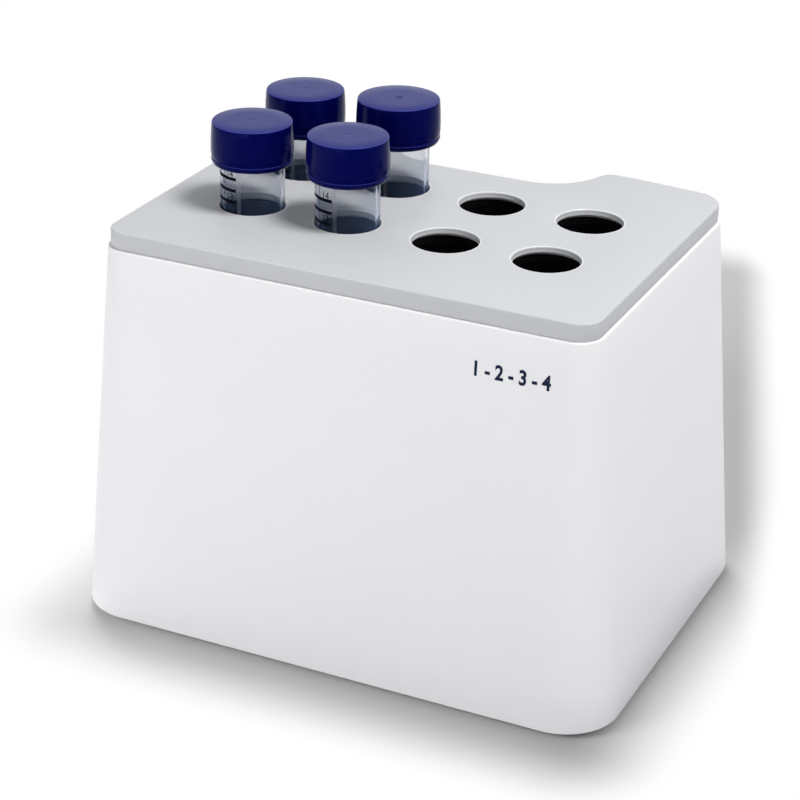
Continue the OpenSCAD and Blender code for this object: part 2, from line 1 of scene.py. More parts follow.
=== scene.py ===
# %% [markdown]
# # A dry block heater, piece by piece
# The real object is a small bench heater: a moulded casing that flares towards the
# bench, a flat grey cover with eight wells, and screw-capped plastic tubes standing in
# four of them. The solids come from the construction model, so each piece here sits in
# the same frame, in metres. We load that frame first. The dressed model may not grow
# past it.

import json
import math

import bmesh
import bpy
from mathutils import Matrix, Vector


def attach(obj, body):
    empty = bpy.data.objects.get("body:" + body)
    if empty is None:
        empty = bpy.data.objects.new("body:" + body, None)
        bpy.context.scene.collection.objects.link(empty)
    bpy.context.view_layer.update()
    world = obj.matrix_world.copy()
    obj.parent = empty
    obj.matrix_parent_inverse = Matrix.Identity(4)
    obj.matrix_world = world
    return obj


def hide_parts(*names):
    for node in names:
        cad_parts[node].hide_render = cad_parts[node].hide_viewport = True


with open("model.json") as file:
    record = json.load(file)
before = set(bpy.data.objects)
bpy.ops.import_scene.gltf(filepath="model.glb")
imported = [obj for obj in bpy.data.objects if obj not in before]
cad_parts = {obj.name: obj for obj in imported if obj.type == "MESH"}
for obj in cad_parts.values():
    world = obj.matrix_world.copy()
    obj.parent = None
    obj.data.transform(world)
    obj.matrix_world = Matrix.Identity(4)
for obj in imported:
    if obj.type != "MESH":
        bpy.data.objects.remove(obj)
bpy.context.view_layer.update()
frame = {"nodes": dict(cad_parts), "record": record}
nodes = frame["nodes"]
MM = 0.001
print("frame nodes:", len(nodes))

# %% [markdown]
# ## Sizes
# Every length below is in millimetres, as a maker would write it, and is turned into
# metres only where a mesh is made. They repeat the construction model's driving sizes.

# %% Sizes of the real object
BASE_W, BASE_D, BASE_R = 150.8, 113.9, 15.1
PLATE_W, PLATE_FRONT, PLATE_REAR = 131.8, 49.85, 51.35
PLATE_RF, PLATE_RR, BOW = 6.0, 9.0, 0.0011
RECESS_Y, RECESS_X, RECESS_R, EAR_R = 34.0, 14.2, 16.2, 4.0
WALL, RIM_STEP = 2.5, 0.65
Z_BASE, Z_RIM, Z_SKIN, Z_TOP = 1.5, 103.9, 106.4, 108.6
WELL_R, WELLS_X, WELLS_Y, PITCH_X, PITCH_Y = 8.6, -0.5, -1.25, 27.2, 29.4
COLUMNS = [WELLS_X + (i - 1.5) * PITCH_X for i in range(4)]
ROWS = [WELLS_Y - PITCH_Y / 2, WELLS_Y + PITCH_Y / 2]
TUBE_R, TUBE_WALL, TUBE_LEN, CONE_LEN = 8.3, 1.0, 117.0, 22.0
CAP_R, CAP_H, CAP_Z = 10.65, 11.0, Z_TOP + 11.7
TUBE_MOUTH = CAP_Z + 8.7
TUBE_TIP = TUBE_MOUTH - TUBE_LEN
THREAD_LEAD, LOOSE_TURN = 3.2, 200
CAP_4_LIFT = THREAD_LEAD * LOOSE_TURN / 360
TUBES = {1: (0, 0), 2: (0, 1), 3: (1, 0), 4: (1, 1)}
TILT_END = math.atan((BASE_W / 2 - PLATE_W / 2 - RIM_STEP) / (Z_RIM - Z_BASE))
TILT_FRONT = math.atan((BASE_D / 2 - PLATE_FRONT - RIM_STEP) / (Z_RIM - Z_BASE))
TILT_REAR = math.atan((BASE_D / 2 - RECESS_Y - RIM_STEP) / (Z_RIM - Z_BASE))

# %% [markdown]
# ## The outline of the cover and the casing
# Seen from above, both are a rounded rectangle with a bowed rear edge and a smooth
# recess in the middle of it. The recess fades out down the casing, because the casing
# is a ruled surface between the rim's outline and the foot's outline. The functions
# below give the outline as a list of points, moved inwards by `t` millimetres.


# %% Outline functions
def arc(cx, cy, r, a0, a1, n):
    """Points on an arc, angles in degrees."""
    turns = [math.radians(a0 + (a1 - a0) * i / n) for i in range(n + 1)]
    return [(cx + r * math.cos(a), cy + r * math.sin(a)) for a in turns]


def recess_side(t):
    """From the tip of the right ear round into the flat floor of the recess."""
    a = math.radians(20)
    cx, cy = RECESS_X, RECESS_Y + RECESS_R
    reach = RECESS_R + EAR_R
    ear = (cx + reach * math.cos(a) + 2.75 * math.sin(a),
           cy - reach * math.sin(a) + 2.75 * math.cos(a))
    return arc(*ear, EAR_R - t, 80, 160, 12) + arc(cx, cy, RECESS_R + t, -20, -90, 16)


def mirrored(points):
    return [(-x, y) for x, y in reversed(points)]


def rim_outline(t):
    """The cover's outline; a negative t gives the casing's slightly wider rim."""
    hw, yf, rf = PLATE_W / 2 - t, -PLATE_FRONT + t, PLATE_RF - t
    xr = hw - PLATE_RR + t
    yr = PLATE_REAR - t - BOW * xr * xr
    rear = arc(xr, yr - PLATE_RR + t, PLATE_RR - t, 0, 86, 14)
    for i in range(1, 6):
        x = xr - i * (xr - 35) / 6
        rear.append((x, PLATE_REAR - t - BOW * x * x))
    rear += recess_side(t)
    return (arc(-hw + rf, yf + rf, rf, 180, 270, 14)
            + arc(hw - rf, yf + rf, rf, 270, 360, 14) + rear + mirrored(rear))


def foot_outline(t):
    """The casing's outline at the foot, with one point for each point of the rim."""
    hw, yf, r = BASE_W / 2 - t, -BASE_D / 2 + t, BASE_R - t
    k = (BASE_W / 2 - BASE_R) / (PLATE_W / 2 - PLATE_RR)

    def edge(x):
        return BASE_D / 2 - t - 0.0006 * max(0, abs(x) - 15.6) ** 2

    rear = arc(hw - r, BASE_D / 2 - t - r - 1.2, r, 0, 86, 14)
    rear += [(x, edge(x)) for x in [hw - r - i * (hw - r - 37) / 6 for i in range(1, 6)]]
    rear += [(x * k, edge(x * k)) for x, _ in recess_side(t)]
    return (arc(-hw + r, yf + r, r, 180, 270, 14)
            + arc(hw - r, yf + r, r, 270, 360, 14) + rear + mirrored(rear))


def casing_outline(z, t):
    u = (z - Z_BASE) / (Z_RIM - Z_BASE)
    return [(a[0] + (b[0] - a[0]) * u, a[1] + (b[1] - a[1]) * u)
            for a, b in zip(foot_outline(t), rim_outline(t - RIM_STEP))]


print("outline points:", len(rim_outline(0)), len(foot_outline(0)))

# %% [markdown]
# ## Small modelling helpers
# Operators act on whatever is selected, so everything is deselected before a piece is
# picked or added. The other helpers here name, copy and delete pieces, and open and close
# edit mode, so that the steps below hold only the modelling.


# %% Modelling helpers
def deselect_all():
    if bpy.context.mode != "OBJECT":
        bpy.ops.object.mode_set(mode="OBJECT")
    bpy.ops.object.select_all(action="DESELECT")


def pick(obj):
    deselect_all()
    obj.select_set(True)
    bpy.context.view_layer.objects.active = obj
    return obj


def named(name):
    obj = bpy.context.object
    obj.name = name
    obj.data.name = name
    return obj


def copy_of(obj, name):
    """A copy with its own mesh."""
    fresh = obj.copy()
    fresh.data = obj.data.copy()
    bpy.context.scene.collection.objects.link(fresh)
    fresh.name = name
    fresh.data.name = name
    return fresh


def delete(obj):
    bpy.data.objects.remove(obj, do_unlink=True)


def settle(obj):
    """Moves the object's place into its mesh, so that the object sits at the origin."""
    pick(obj)
    bpy.ops.object.transform_apply(location=True, rotation=True, scale=True)
    return obj


def smooth(obj, angle=35):
    pick(obj)
    bpy.ops.object.shade_smooth_by_angle(angle=math.radians(angle))
    return obj


def edit_all():
    """Opens the active object's mesh with everything selected."""
    bpy.ops.object.mode_set(mode="EDIT")
    bpy.ops.mesh.select_all(action="SELECT")


def close_edit():
    bpy.ops.object.mode_set(mode="OBJECT")


def pull(x, y, z):
    """Extrudes the selection and moves it, in millimetres."""
    bpy.ops.mesh.extrude_region_move(
        TRANSFORM_OT_translate={"value": (x * MM, y * MM, z * MM)})


def bevel_edges(width, segments, clamp=False):
    bpy.ops.mesh.bevel(offset=width * MM, segments=segments, affect="EDGES",
                       clamp_overlap=clamp)

# %% [markdown]
# ### Shaping helpers
# `stack` raises a closed outline through a list of levels with the extrude operator, the
# way one would pull a loop of edges upwards by hand. `lathe` draws half a section by
# extruding one point along it and then spins it round an upright axis. `carve` cuts other
# shapes out of a piece, which suits holes in a wall better than modelling round them.


# %% Shaping helpers
def tidy_mesh(obj):
    """Merges doubles and turns every face outwards."""
    pick(obj)
    edit_all()
    bpy.ops.mesh.remove_doubles(threshold=1e-6)
    bpy.ops.mesh.normals_make_consistent(inside=False)
    close_edit()
    return obj


def stack(name, levels, cap_first=False, cap_last=False, closed=False):
    """A skin through a list of (outline, z) levels, all with the same point count."""
    deselect_all()
    count = len(levels[0][0])
    bpy.ops.mesh.primitive_circle_add(vertices=count, radius=0.05)
    obj = named(name)
    edit_all()
    bm = bmesh.from_edit_mesh(obj.data)
    order = [v.index for v in bm.verts]
    for v, (x, y) in zip(bm.verts, levels[0][0]):
        v.co = (x * MM, y * MM, levels[0][1] * MM)
    for outline, z in levels[1:]:
        pull(0, 0, 1)
        bm = bmesh.from_edit_mesh(obj.data)
        bm.verts.ensure_lookup_table()
        below = {index: i for i, index in enumerate(order)}
        fresh = [None] * count
        for v in bm.verts:
            if not v.select:
                continue
            for e in v.link_edges:
                i = below.get(e.other_vert(v).index)
                if i is not None:
                    fresh[i] = v
        for v, (x, y) in zip(fresh, outline):
            v.co = (x * MM, y * MM, z * MM)
        order = [v.index for v in fresh]
        bmesh.update_edit_mesh(obj.data)
    bm.verts.ensure_lookup_table()
    if closed:
        first = [bm.verts[i] for i in range(count)]
        last = [bm.verts[i] for i in order]
        for i in range(count):
            j = (i + 1) % count
            bm.faces.new((last[i], last[j], first[j], first[i]))
    if cap_first:
        bm.faces.new([bm.verts[i] for i in range(count)])
    if cap_last:
        bm.faces.new([bm.verts[i] for i in order])
    bmesh.update_edit_mesh(obj.data)
    close_edit()
    return tidy_mesh(obj)


def lathe(name, profile, centre, steps=72):
    """Spins a half section of (radius, height) points round an upright axis."""
    deselect_all()
    bpy.ops.mesh.primitive_plane_add(size=0.001)
    obj = named(name)
    edit_all()
    bpy.ops.mesh.merge(type="CENTER")
    bm = bmesh.from_edit_mesh(obj.data)
    bm.verts.ensure_lookup_table()
    cx, cy = centre[0] * MM, centre[1] * MM
    bm.verts[0].co = (cx + profile[0][0] * MM, cy, profile[0][1] * MM)
    bmesh.update_edit_mesh(obj.data)
    for (r0, z0), (r1, z1) in zip(profile, profile[1:]):
        pull(r1 - r0, 0, z1 - z0)
    bpy.ops.mesh.select_all(action="SELECT")
    bpy.ops.mesh.spin(steps=steps, angle=math.tau, center=(cx, cy, 0), axis=(0, 0, 1))
    close_edit()
    return tidy_mesh(obj)


def carve(obj, *cutters):
    """Cuts each cutter out of obj with a boolean modifier, then deletes the cutter."""
    for c in cutters:
        m = obj.modifiers.new("cut", "BOOLEAN")
        m.operation, m.solver, m.object = "DIFFERENCE", "EXACT", c
        pick(obj)
        bpy.ops.object.modifier_apply(modifier=m.name)
        delete(c)
    return obj


def joined(name, parts):
    """Joins finished parts into one piece."""
    deselect_all()
    for p in parts:
        p.select_set(True)
    bpy.context.view_layer.objects.active = parts[0]
    bpy.ops.object.join()
    return named(name)

# %% [markdown]
# ### Placing helpers
# A piece on a sloping face is made flat round the origin and then carried there. Each
# function gives the place of one face, as a move and the turns that follow its slope.


# %% Placing helpers
def shift(x, y, z):
    """A move in millimetres."""
    return Matrix.Translation((x * MM, y * MM, z * MM))


def placed(obj, matrix):
    """Carries a mesh that was made round the origin to its place."""
    obj.data.transform(matrix)
    obj.data.update()
    return obj


def on_panel(z=57.0):
    """The sloping floor of the rear recess: local Y points out, local Z runs up it."""
    y = BASE_D / 2 - (z - Z_BASE) * math.tan(TILT_REAR)
    return shift(0, y, z) @ Matrix.Rotation(TILT_REAR, 4, "X")


def on_left(y, z):
    """The left end of the casing: local Y points out, local Z runs up it."""
    x = BASE_W / 2 - (z - Z_BASE) * math.tan(TILT_END)
    turn = Matrix.Rotation(math.pi / 2, 4, "Z") @ Matrix.Rotation(TILT_END, 4, "X")
    return shift(-x, y, z) @ turn


def on_front(x, z):
    """The long plain face: local X to the right, local Y up it, local Z out of it."""
    y = BASE_D / 2 - (z - Z_BASE) * math.tan(TILT_FRONT)
    turn = Matrix.Rotation(math.pi / 2 - TILT_FRONT, 4, "X")
    return shift(x, -y, z) @ turn


# %% [markdown]
# ## Shared material effects
# No surface is perfectly even: moulded plastic has a faint texture and a slow drift of
# colour, and worked metal has fine lines. Three node groups give those effects, and each
# material sets their strength for its own piece. They read Object coordinates, so the
# pattern stays put when a piece moves. Two helpers keep the node work short: `add_node`
# types the constants into a new node's sockets, and `wire` joins sockets, each link being
# a source node, its output, a target node and its input.


# %% Node helpers
def set_sockets(node, constants):
    for socket, value in constants.items():
        node.inputs[socket].default_value = value
    return node


def add_node(tree, kind, constants=None, **settings):
    node = tree.nodes.new("ShaderNode" + kind)
    for setting, choice in settings.items():
        setattr(node, setting, choice)
    return set_sockets(node, constants or {})


def wire(tree, *links):
    for source, output, target, socket in links:
        tree.links.new(source.outputs[output], target.inputs[socket])


def new_group(name, inputs, outputs):
    group = bpy.data.node_groups.new(name, "ShaderNodeTree")
    for label, kind, value in inputs:
        s = group.interface.new_socket(name=label, in_out="INPUT", socket_type=kind)
        s.default_value = value
    for label, kind in outputs:
        group.interface.new_socket(name=label, in_out="OUTPUT", socket_type=kind)
    return group, group.nodes.new("NodeGroupInput"), group.nodes.new("NodeGroupOutput")


FLOAT, COLOUR, VECTOR = "NodeSocketFloat", "NodeSocketColor", "NodeSocketVector"

# %% [markdown]
# ### Mould grain
# A mould leaves a fine, even texture on plastic, far too small to model. An image could
# carry it, but noise needs no picture and never repeats. Fine noise gives the relief, and
# a softer noise varies the roughness, so that a highlight breaks up a little.


# %% Mould grain
def make_mould_grain():
    """Fine mould texture: a height for a Bump node and a roughness."""
    g, given, made = new_group(
        "mould_grain",
        [("Scale", FLOAT, 900.0), ("Roughness", FLOAT, 0.45), ("Variation", FLOAT, 0.08)],
        [("Height", FLOAT), ("Roughness", FLOAT)])
    place = add_node(g, "TexCoord")
    fine = add_node(g, "TexNoise", {"Detail": 3.0})
    soft = add_node(g, "TexNoise", {"Scale": 55.0, "Detail": 4.0})
    centred = add_node(g, "Math", {1: 0.5}, operation="SUBTRACT")
    spread = add_node(g, "Math", operation="MULTIPLY_ADD")
    wire(g, (place, "Object", fine, "Vector"), (place, "Object", soft, "Vector"),
         (given, "Scale", fine, "Scale"), (fine, "Fac", made, "Height"),
         (soft, "Fac", centred, 0), (centred, 0, spread, 0),
         (given, "Variation", spread, 1), (given, "Roughness", spread, 2),
         (spread, 0, made, "Roughness"))
    return g


MOULD_GRAIN = make_mould_grain()

# %% [markdown]
# ### Colour drift
# No moulded face is one flat colour. Noise mixes two close colours over the piece, and
# the amount says how far the second one may come in.


# %% Colour drift
def make_colour_drift():
    """A slow drift between two close colours, with finer speckle on top."""
    g, given, made = new_group(
        "colour_drift",
        [("Colour", COLOUR, (0.8, 0.8, 0.8, 1)), ("Other colour", COLOUR, (0.7, 0.7, 0.7, 1)),
         ("Scale", FLOAT, 20.0), ("Amount", FLOAT, 0.5)],
        [("Colour", COLOUR)])
    place = add_node(g, "TexCoord")
    noise = add_node(g, "TexNoise", {"Detail": 5.0, "Roughness": 0.55})
    band = add_node(g, "MapRange", {"From Min": 0.3, "From Max": 0.7})
    mix = add_node(g, "Mix", data_type="RGBA")
    wire(g, (place, "Object", noise, "Vector"), (given, "Scale", noise, "Scale"),
         (noise, "Fac", band, "Value"), (given, "Amount", band, "To Max"),
         (band, "Result", mix, "Factor"), (given, "Colour", mix, "A"),
         (given, "Other colour", mix, "B"), (mix, "Result", made, "Colour"))
    return g


COLOUR_DRIFT = make_colour_drift()

# %% [markdown]
# ### Brushed metal
# Rolled sheet and turned screws have fine lines that run one way. Modelled grooves would
# be far too heavy, so the noise is drawn out into lines, by shrinking one of its three
# coordinates before it is read.


# %% Brushed metal
def make_brushed():
    """Stretched noise for brushed or turned metal: a height and a roughness."""
    g, given, made = new_group(
        "brushed",
        [("Along", VECTOR, (1.0, 0.05, 1.0)), ("Scale", FLOAT, 1200.0),
         ("Roughness", FLOAT, 0.35)],
        [("Height", FLOAT), ("Roughness", FLOAT)])
    place = add_node(g, "TexCoord")
    stretch = add_node(g, "VectorMath", operation="MULTIPLY")
    noise = add_node(g, "TexNoise", {"Detail": 4.0})
    spread = add_node(g, "Math", {1: 0.15}, operation="MULTIPLY_ADD")
    wire(g, (place, "Object", stretch, 0), (given, "Along", stretch, 1),
         (stretch, "Vector", noise, "Vector"), (given, "Scale", noise, "Scale"),
         (noise, "Fac", made, "Height"), (noise, "Fac", spread, 0),
         (given, "Roughness", spread, 2), (spread, 0, made, "Roughness"))
    return g


BRUSHED = make_brushed()
print("node groups:", [g.name for g in bpy.data.node_groups])

# %% [markdown]
# ## Materials
# One function builds every moulded or rubbery finish from the groups above, one builds
# the metals, and the clear plastic of the tubes has its own. A number that is the same
# all over a surface is typed straight into the shader's socket.


# %% Material builders
def blank_material(name):
    mat = bpy.data.materials.new(name)
    mat.use_nodes = True
    return mat, mat.node_tree, mat.node_tree.nodes["Principled BSDF"]


def shaded(mat, constants):
    """Types constants into the material's main shader."""
    set_sockets(mat.node_tree.nodes["Principled BSDF"], constants)
    return mat


def textured(name, colours, drift, amount, texture, settings, bump, depth=0.00002):
    """A material with drifting colour, varying roughness and a fine relief."""
    mat, tree, bsdf = blank_material(name)
    colour, other = colours
    drifting = add_node(tree, "Group", {"Colour": (*colour, 1), "Other colour": (*other, 1),
                                        "Scale": drift, "Amount": amount},
                        node_tree=COLOUR_DRIFT)
    surface = add_node(tree, "Group", settings, node_tree=texture)
    relief = add_node(tree, "Bump", {"Strength": bump, "Distance": depth})
    wire(tree, (drifting, "Colour", bsdf, "Base Color"),
         (surface, "Roughness", bsdf, "Roughness"), (surface, "Height", relief, "Height"),
         (relief, "Normal", bsdf, "Normal"))
    return mat


def moulded(name, colour, other, roughness, grain=900.0, bump=0.05, depth=0.00002,
            drift=20.0, specular=0.5, variation=0.08):
    mat = textured(name, (colour, other), drift, 0.6, MOULD_GRAIN,
                   {"Scale": grain, "Roughness": roughness, "Variation": variation},
                   bump, depth)
    return shaded(mat, {"Specular IOR Level": specular})


def metal(name, colour, other, roughness):
    mat = textured(name, (colour, other), 60.0, 0.6, BRUSHED, {"Roughness": roughness}, 0.1)
    return shaded(mat, {"Metallic": 1.0})


def clear_plastic(name, tint, roughness, ior=1.45, weight=1.0, grain=160.0, sheen=0.0):
    deeper = [c * 0.97 for c in tint]
    mat = textured(name, (tint, deeper), 90.0, 0.5, MOULD_GRAIN,
                   {"Scale": grain, "Roughness": roughness, "Variation": 0.03}, 0.02)
    return shaded(mat, {"IOR": ior, "Transmission Weight": weight, "Sheen Weight": sheen,
                        "Sheen Roughness": 0.7, "Sheen Tint": (0.24, 0.44, 1.0, 1.0)})


def paint_light_on_top_and_edge(mat, top, edge):
    """Paints light into the colour: `edge` is a painted highlight on the shoulder, and `top` a
    painted reflection of the light above on the flat.
    """
    tree = mat.node_tree
    base = tree.nodes["Principled BSDF"].inputs["Base Color"]
    colour = base.links[0].from_socket
    facing = add_node(tree, "TexCoord")
    split = add_node(tree, "SeparateXYZ")
    wire(tree, (facing, "Normal", split, "Vector"))
    for painted_colour, start, end in ((edge, 0.3, 0.55), (top, 0.75, 0.95)):
        upward = add_node(tree, "MapRange", {"From Min": start, "From Max": end})
        mix = add_node(tree, "Mix", data_type="RGBA")
        mix.inputs["B"].default_value = (*painted_colour, 1.0)
        wire(tree, (split, "Z", upward, "Value"), (upward, "Result", mix, "Factor"))
        tree.links.new(colour, mix.inputs["A"])
        colour = mix.outputs["Result"]
    tree.links.new(colour, base)
    return mat


# %% [markdown]
# ### Finishes of this heater
# Each finish is one call that gives two close colours and a roughness, and then whatever
# sets it apart, such as the strong relief of felt or the low shine of dark ink.

# %% Finishes of this heater
casing_white = moulded(
    "casing_white", (0.832, 0.826, 0.828), (0.806, 0.80, 0.806), 0.42, grain=700.0, drift=9.0)
# A paler grey for the lips round the wells: a painted highlight.
lip_painted_highlight = moulded("lip_painted_highlight", (0.71, 0.72, 0.73), (0.66, 0.67, 0.68), 0.4, bump=0.1)
cover_grey = moulded(
    "cover_grey", (0.527, 0.533, 0.54), (0.49, 0.497, 0.508), 0.5, grain=1400.0, bump=0.12,
    drift=14.0)
base_dark = moulded("base_dark", (0.03, 0.032, 0.036), (0.045, 0.047, 0.05), 0.6, bump=0.15)
rubber_black = moulded(
    "rubber_black", (0.003, 0.003, 0.004), (0.006, 0.006, 0.007), 0.8, grain=1600.0, bump=0.3,
    specular=0.08)
cap_blue = moulded(
    "cap_blue", (0.0008, 0.0016, 0.054), (0.0012, 0.0022, 0.062), 0.17, grain=500.0,
    drift=60.0, specular=0.07, variation=0.03)
shaded(cap_blue, {"Specular Tint": (0.25, 0.27, 1.0, 1.0)})
# Painted light: the flat tops get a painted reflection, the shoulders a painted highlight.
paint_light_on_top_and_edge(cap_blue, (0.0195, 0.025, 0.142), (0.045, 0.052, 0.24))
block_black = moulded(
    "block_black", (0.002, 0.002, 0.003), (0.004, 0.004, 0.006), 0.42, grain=2200.0,
    bump=0.15, drift=80.0, specular=0.05)
foam_felt = moulded(
    "foam_felt", (0.60, 0.57, 0.49), (0.50, 0.47, 0.40), 0.95, grain=1500.0, bump=0.8,
    depth=0.0002, drift=220.0)
mat_orange = moulded(
    "mat_orange", (0.52, 0.14, 0.04), (0.46, 0.11, 0.03), 0.55, grain=2500.0, bump=0.4)
pillar_cream = moulded("pillar_cream", (0.66, 0.63, 0.53), (0.60, 0.57, 0.47), 0.5)
laminate_green = moulded(
    "laminate_green", (0.012, 0.11, 0.045), (0.02, 0.14, 0.06), 0.35, grain=1800.0, bump=0.1,
    drift=300.0)
part_black = moulded("part_black", (0.015, 0.015, 0.018), (0.03, 0.03, 0.034), 0.45)
post_natural = moulded("post_natural", (0.6, 0.6, 0.58), (0.55, 0.55, 0.53), 0.5)
panel_slate = moulded(
    "panel_slate", (0.030, 0.040, 0.062), (0.036, 0.047, 0.07), 0.38, grain=2400.0, bump=0.2)
key_grey = moulded("key_grey", (0.52, 0.535, 0.56), (0.48, 0.495, 0.52), 0.45, bump=0.1)
switch_black = moulded("switch_black", (0.014, 0.014, 0.016), (0.022, 0.022, 0.024), 0.36)
lead_white = moulded("lead_white", (0.6, 0.6, 0.58), (0.54, 0.54, 0.52), 0.5)
lead_red = moulded("lead_red", (0.45, 0.02, 0.02), (0.38, 0.015, 0.015), 0.45)
lead_grey = moulded("lead_grey", (0.12, 0.12, 0.13), (0.09, 0.09, 0.1), 0.5)
ink_navy = moulded(
    "ink_navy", (0.008, 0.016, 0.045), (0.012, 0.02, 0.05), 0.6, bump=0.1, specular=0.1)
ink_black = moulded(
    "ink_black", (0.002, 0.003, 0.006), (0.005, 0.006, 0.009), 0.7, bump=0.1, specular=0.03)
ink_white = moulded("ink_white", (0.75, 0.76, 0.78), (0.7, 0.71, 0.73), 0.5, bump=0.1)
silicone_milky = moulded("silicone_milky", (0.70, 0.70, 0.67), (0.64, 0.64, 0.61), 0.5)
screw_zinc = metal("screw_zinc", (0.58, 0.59, 0.61), (0.50, 0.51, 0.53), 0.28)
sheet_aluminium = metal("sheet_aluminium", (0.72, 0.73, 0.74), (0.66, 0.67, 0.68), 0.35)
contact_brass = metal("contact_brass", (0.72, 0.56, 0.24), (0.62, 0.47, 0.19), 0.3)
tube_clear = clear_plastic(
    "tube_clear", (0.815, 0.825, 0.838), 0.05, ior=1.08, weight=0.996, sheen=0.12)
# The strip is paler than the tube: matt plastic, and partly a painted highlight.
strip_frosted_highlight = clear_plastic(
    "strip_frosted_highlight", (0.93, 0.94, 0.96), 0.35, ior=1.06, weight=0.985, grain=900.0)
window_tint = clear_plastic("window_tint", (0.42, 0.035, 0.03), 0.05)
bar_dark = moulded("bar_dark", (0.05, 0.012, 0.012), (0.04, 0.010, 0.010), 0.4)
digit_red = moulded("digit_red", (0.75, 0.03, 0.012), (0.68, 0.02, 0.01), 0.4)
shaded(digit_red, {"Emission Color": (1, 0.05, 0.02, 1), "Emission Strength": 2.2})
print("finishes:", len(bpy.data.materials))

# %% [markdown]
# ## Dressing the pieces that keep their CAD shape
# Screws, boards, insulation and the heating block already have the right shape, so they
# only get a finish. The dictionary pairs each material slot of the record with one of
# the finishes above.

# %% Finishes for the CAD nodes
FINISH_FOR_SLOT = {
    "casing_plastic": casing_white, "cover_plastic": cover_grey, "base_plastic": base_dark,
    "foot_rubber": rubber_black, "screw_steel": screw_zinc, "gasket_rubber": rubber_black,
    "block_anodised": block_black, "mat_silicone": mat_orange,
    "plate_aluminium": sheet_aluminium, "pillar_ceramic": pillar_cream,
    "insulation_foam": foam_felt, "probe_steel": screw_zinc, "part_plastic": part_black,
    "board_laminate": laminate_green, "post_plastic": post_natural,
    "digit_light": digit_red, "panel_plastic": panel_slate, "window_plastic": window_tint,
    "key_plastic": key_grey, "switch_plastic": switch_black, "contact_brass": contact_brass,
    "lead_white": lead_white, "lead_red": lead_red, "lead_grey": lead_grey,
    "tube_clear": tube_clear, "seal_silicone": silicone_milky, "cap_plastic": cap_blue,
}


def finish_with(obj, material):
    obj.data.materials.clear()
    obj.data.materials.append(material)
    return obj


def dress(obj, material, slot, *stands_for, body="housing"):
    """Finishes a piece, rides it on a body and hides the CAD nodes that it stands for."""
    finish_with(obj, material)
    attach(obj, body)
    if stands_for:
        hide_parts(*stands_for)
    print(f"{obj.name}: {len(obj.data.polygons)} faces, on {body}")
    return obj


for entry in frame["record"]["subparts"]:
    finish_with(nodes[entry["node"]], FINISH_FOR_SLOT[entry["material_slot"]])

# %% [markdown]
# ## The casing
# A thin moulded shell. Its outside is raised level by level from the foot to the rim,
# turned over the rim with a small radius and brought back down inside, so that one
# closed skin has a real wall. Openings for the switch, the inlet and the controls are
# then cut with boolean modifiers, as a toolmaker would add them to the mould.

# %% Casing shell
# Each level is a height and how far the outline is moved inwards there.
FLARE_START, FLARE_END = Z_BASE + 0.9, Z_RIM - 0.6
INNER_START, INNER_END = Z_RIM - 0.2, Z_BASE + 0.5
outside = [(Z_BASE, 0.9), (Z_BASE + 0.12, 0.45), (Z_BASE + 0.4, 0.15), (FLARE_START, 0.0)]
outside += [(FLARE_START + (FLARE_END - FLARE_START) * i / 10, 0.0) for i in range(1, 11)]
outside += [(Z_RIM - 0.18, 0.04), (Z_RIM - 0.06, 0.1), (Z_RIM, 0.2)]
inside = [(Z_RIM, WALL - 0.2), (INNER_START, WALL)]
inside += [(INNER_START - (INNER_START - INNER_END) * i / 6, WALL) for i in range(1, 7)]
inside += [(Z_BASE, WALL - 0.3)]
casing_shell = stack("casing_shell",
                     [(casing_outline(z, t), z) for z, t in outside + inside], closed=True)

# %% [markdown]
# ### Openings in the casing
# Two helpers make the cutters: a cylinder that lies along Y, and a plate with rounded
# corners, bevelled along the edges that run through it. Each is made round the origin,
# where its numbers are easy to read, and is then carried to its place.


# %% Openings in the casing
def upright_cylinder(name, r, y0, y1, segments=64):
    """A cylinder along local Y, from y0 to y1, round the origin."""
    deselect_all()
    bpy.ops.mesh.primitive_cylinder_add(vertices=segments, radius=r * MM,
                                        depth=(y1 - y0) * MM)
    obj = named(name)
    obj.rotation_euler = (math.pi / 2, 0, 0)
    obj.location = (0, (y0 + y1) / 2 * MM, 0)
    return settle(obj)


def rounded_slab(name, hx, hz, y0, y1, r, segments=8, edge=0.0):
    """A plate in local XZ with rounded corners, from y0 to y1 in local Y."""
    deselect_all()
    bpy.ops.mesh.primitive_cube_add(size=1)
    obj = named(name)
    obj.scale = (2 * hx * MM, (y1 - y0) * MM, 2 * hz * MM)
    obj.location = (0, (y0 + y1) / 2 * MM, 0)
    settle(obj)
    bpy.ops.object.mode_set(mode="EDIT")
    bm = bmesh.from_edit_mesh(obj.data)
    for e in bm.edges:
        a, b = e.verts
        e.select = abs(a.co.y - b.co.y) > 0.5 * (y1 - y0) * MM
    bmesh.update_edit_mesh(obj.data)
    bevel_edges(r, segments)
    if edge:
        bm = bmesh.from_edit_mesh(obj.data)
        top = y1 * MM
        for f in bm.faces:
            f.select = False
        for e in bm.edges:
            e.select = all(abs(v.co.y - top) < 1e-7 for v in e.verts)
        bmesh.update_edit_mesh(obj.data)
        bevel_edges(edge, 3)
    close_edit()
    return obj


KEY_R, KEY_GAP, DISPLAY_S = 3.6, 0.35, 17.0
KEY_S = {"key_set": 2, "key_up": -9, "key_down": -20}
SWITCH_YZ, INLET_YZ = (31, 55), (31, 28)


def along_panel(obj, s):
    return placed(obj, on_panel() @ shift(0, 0, s))


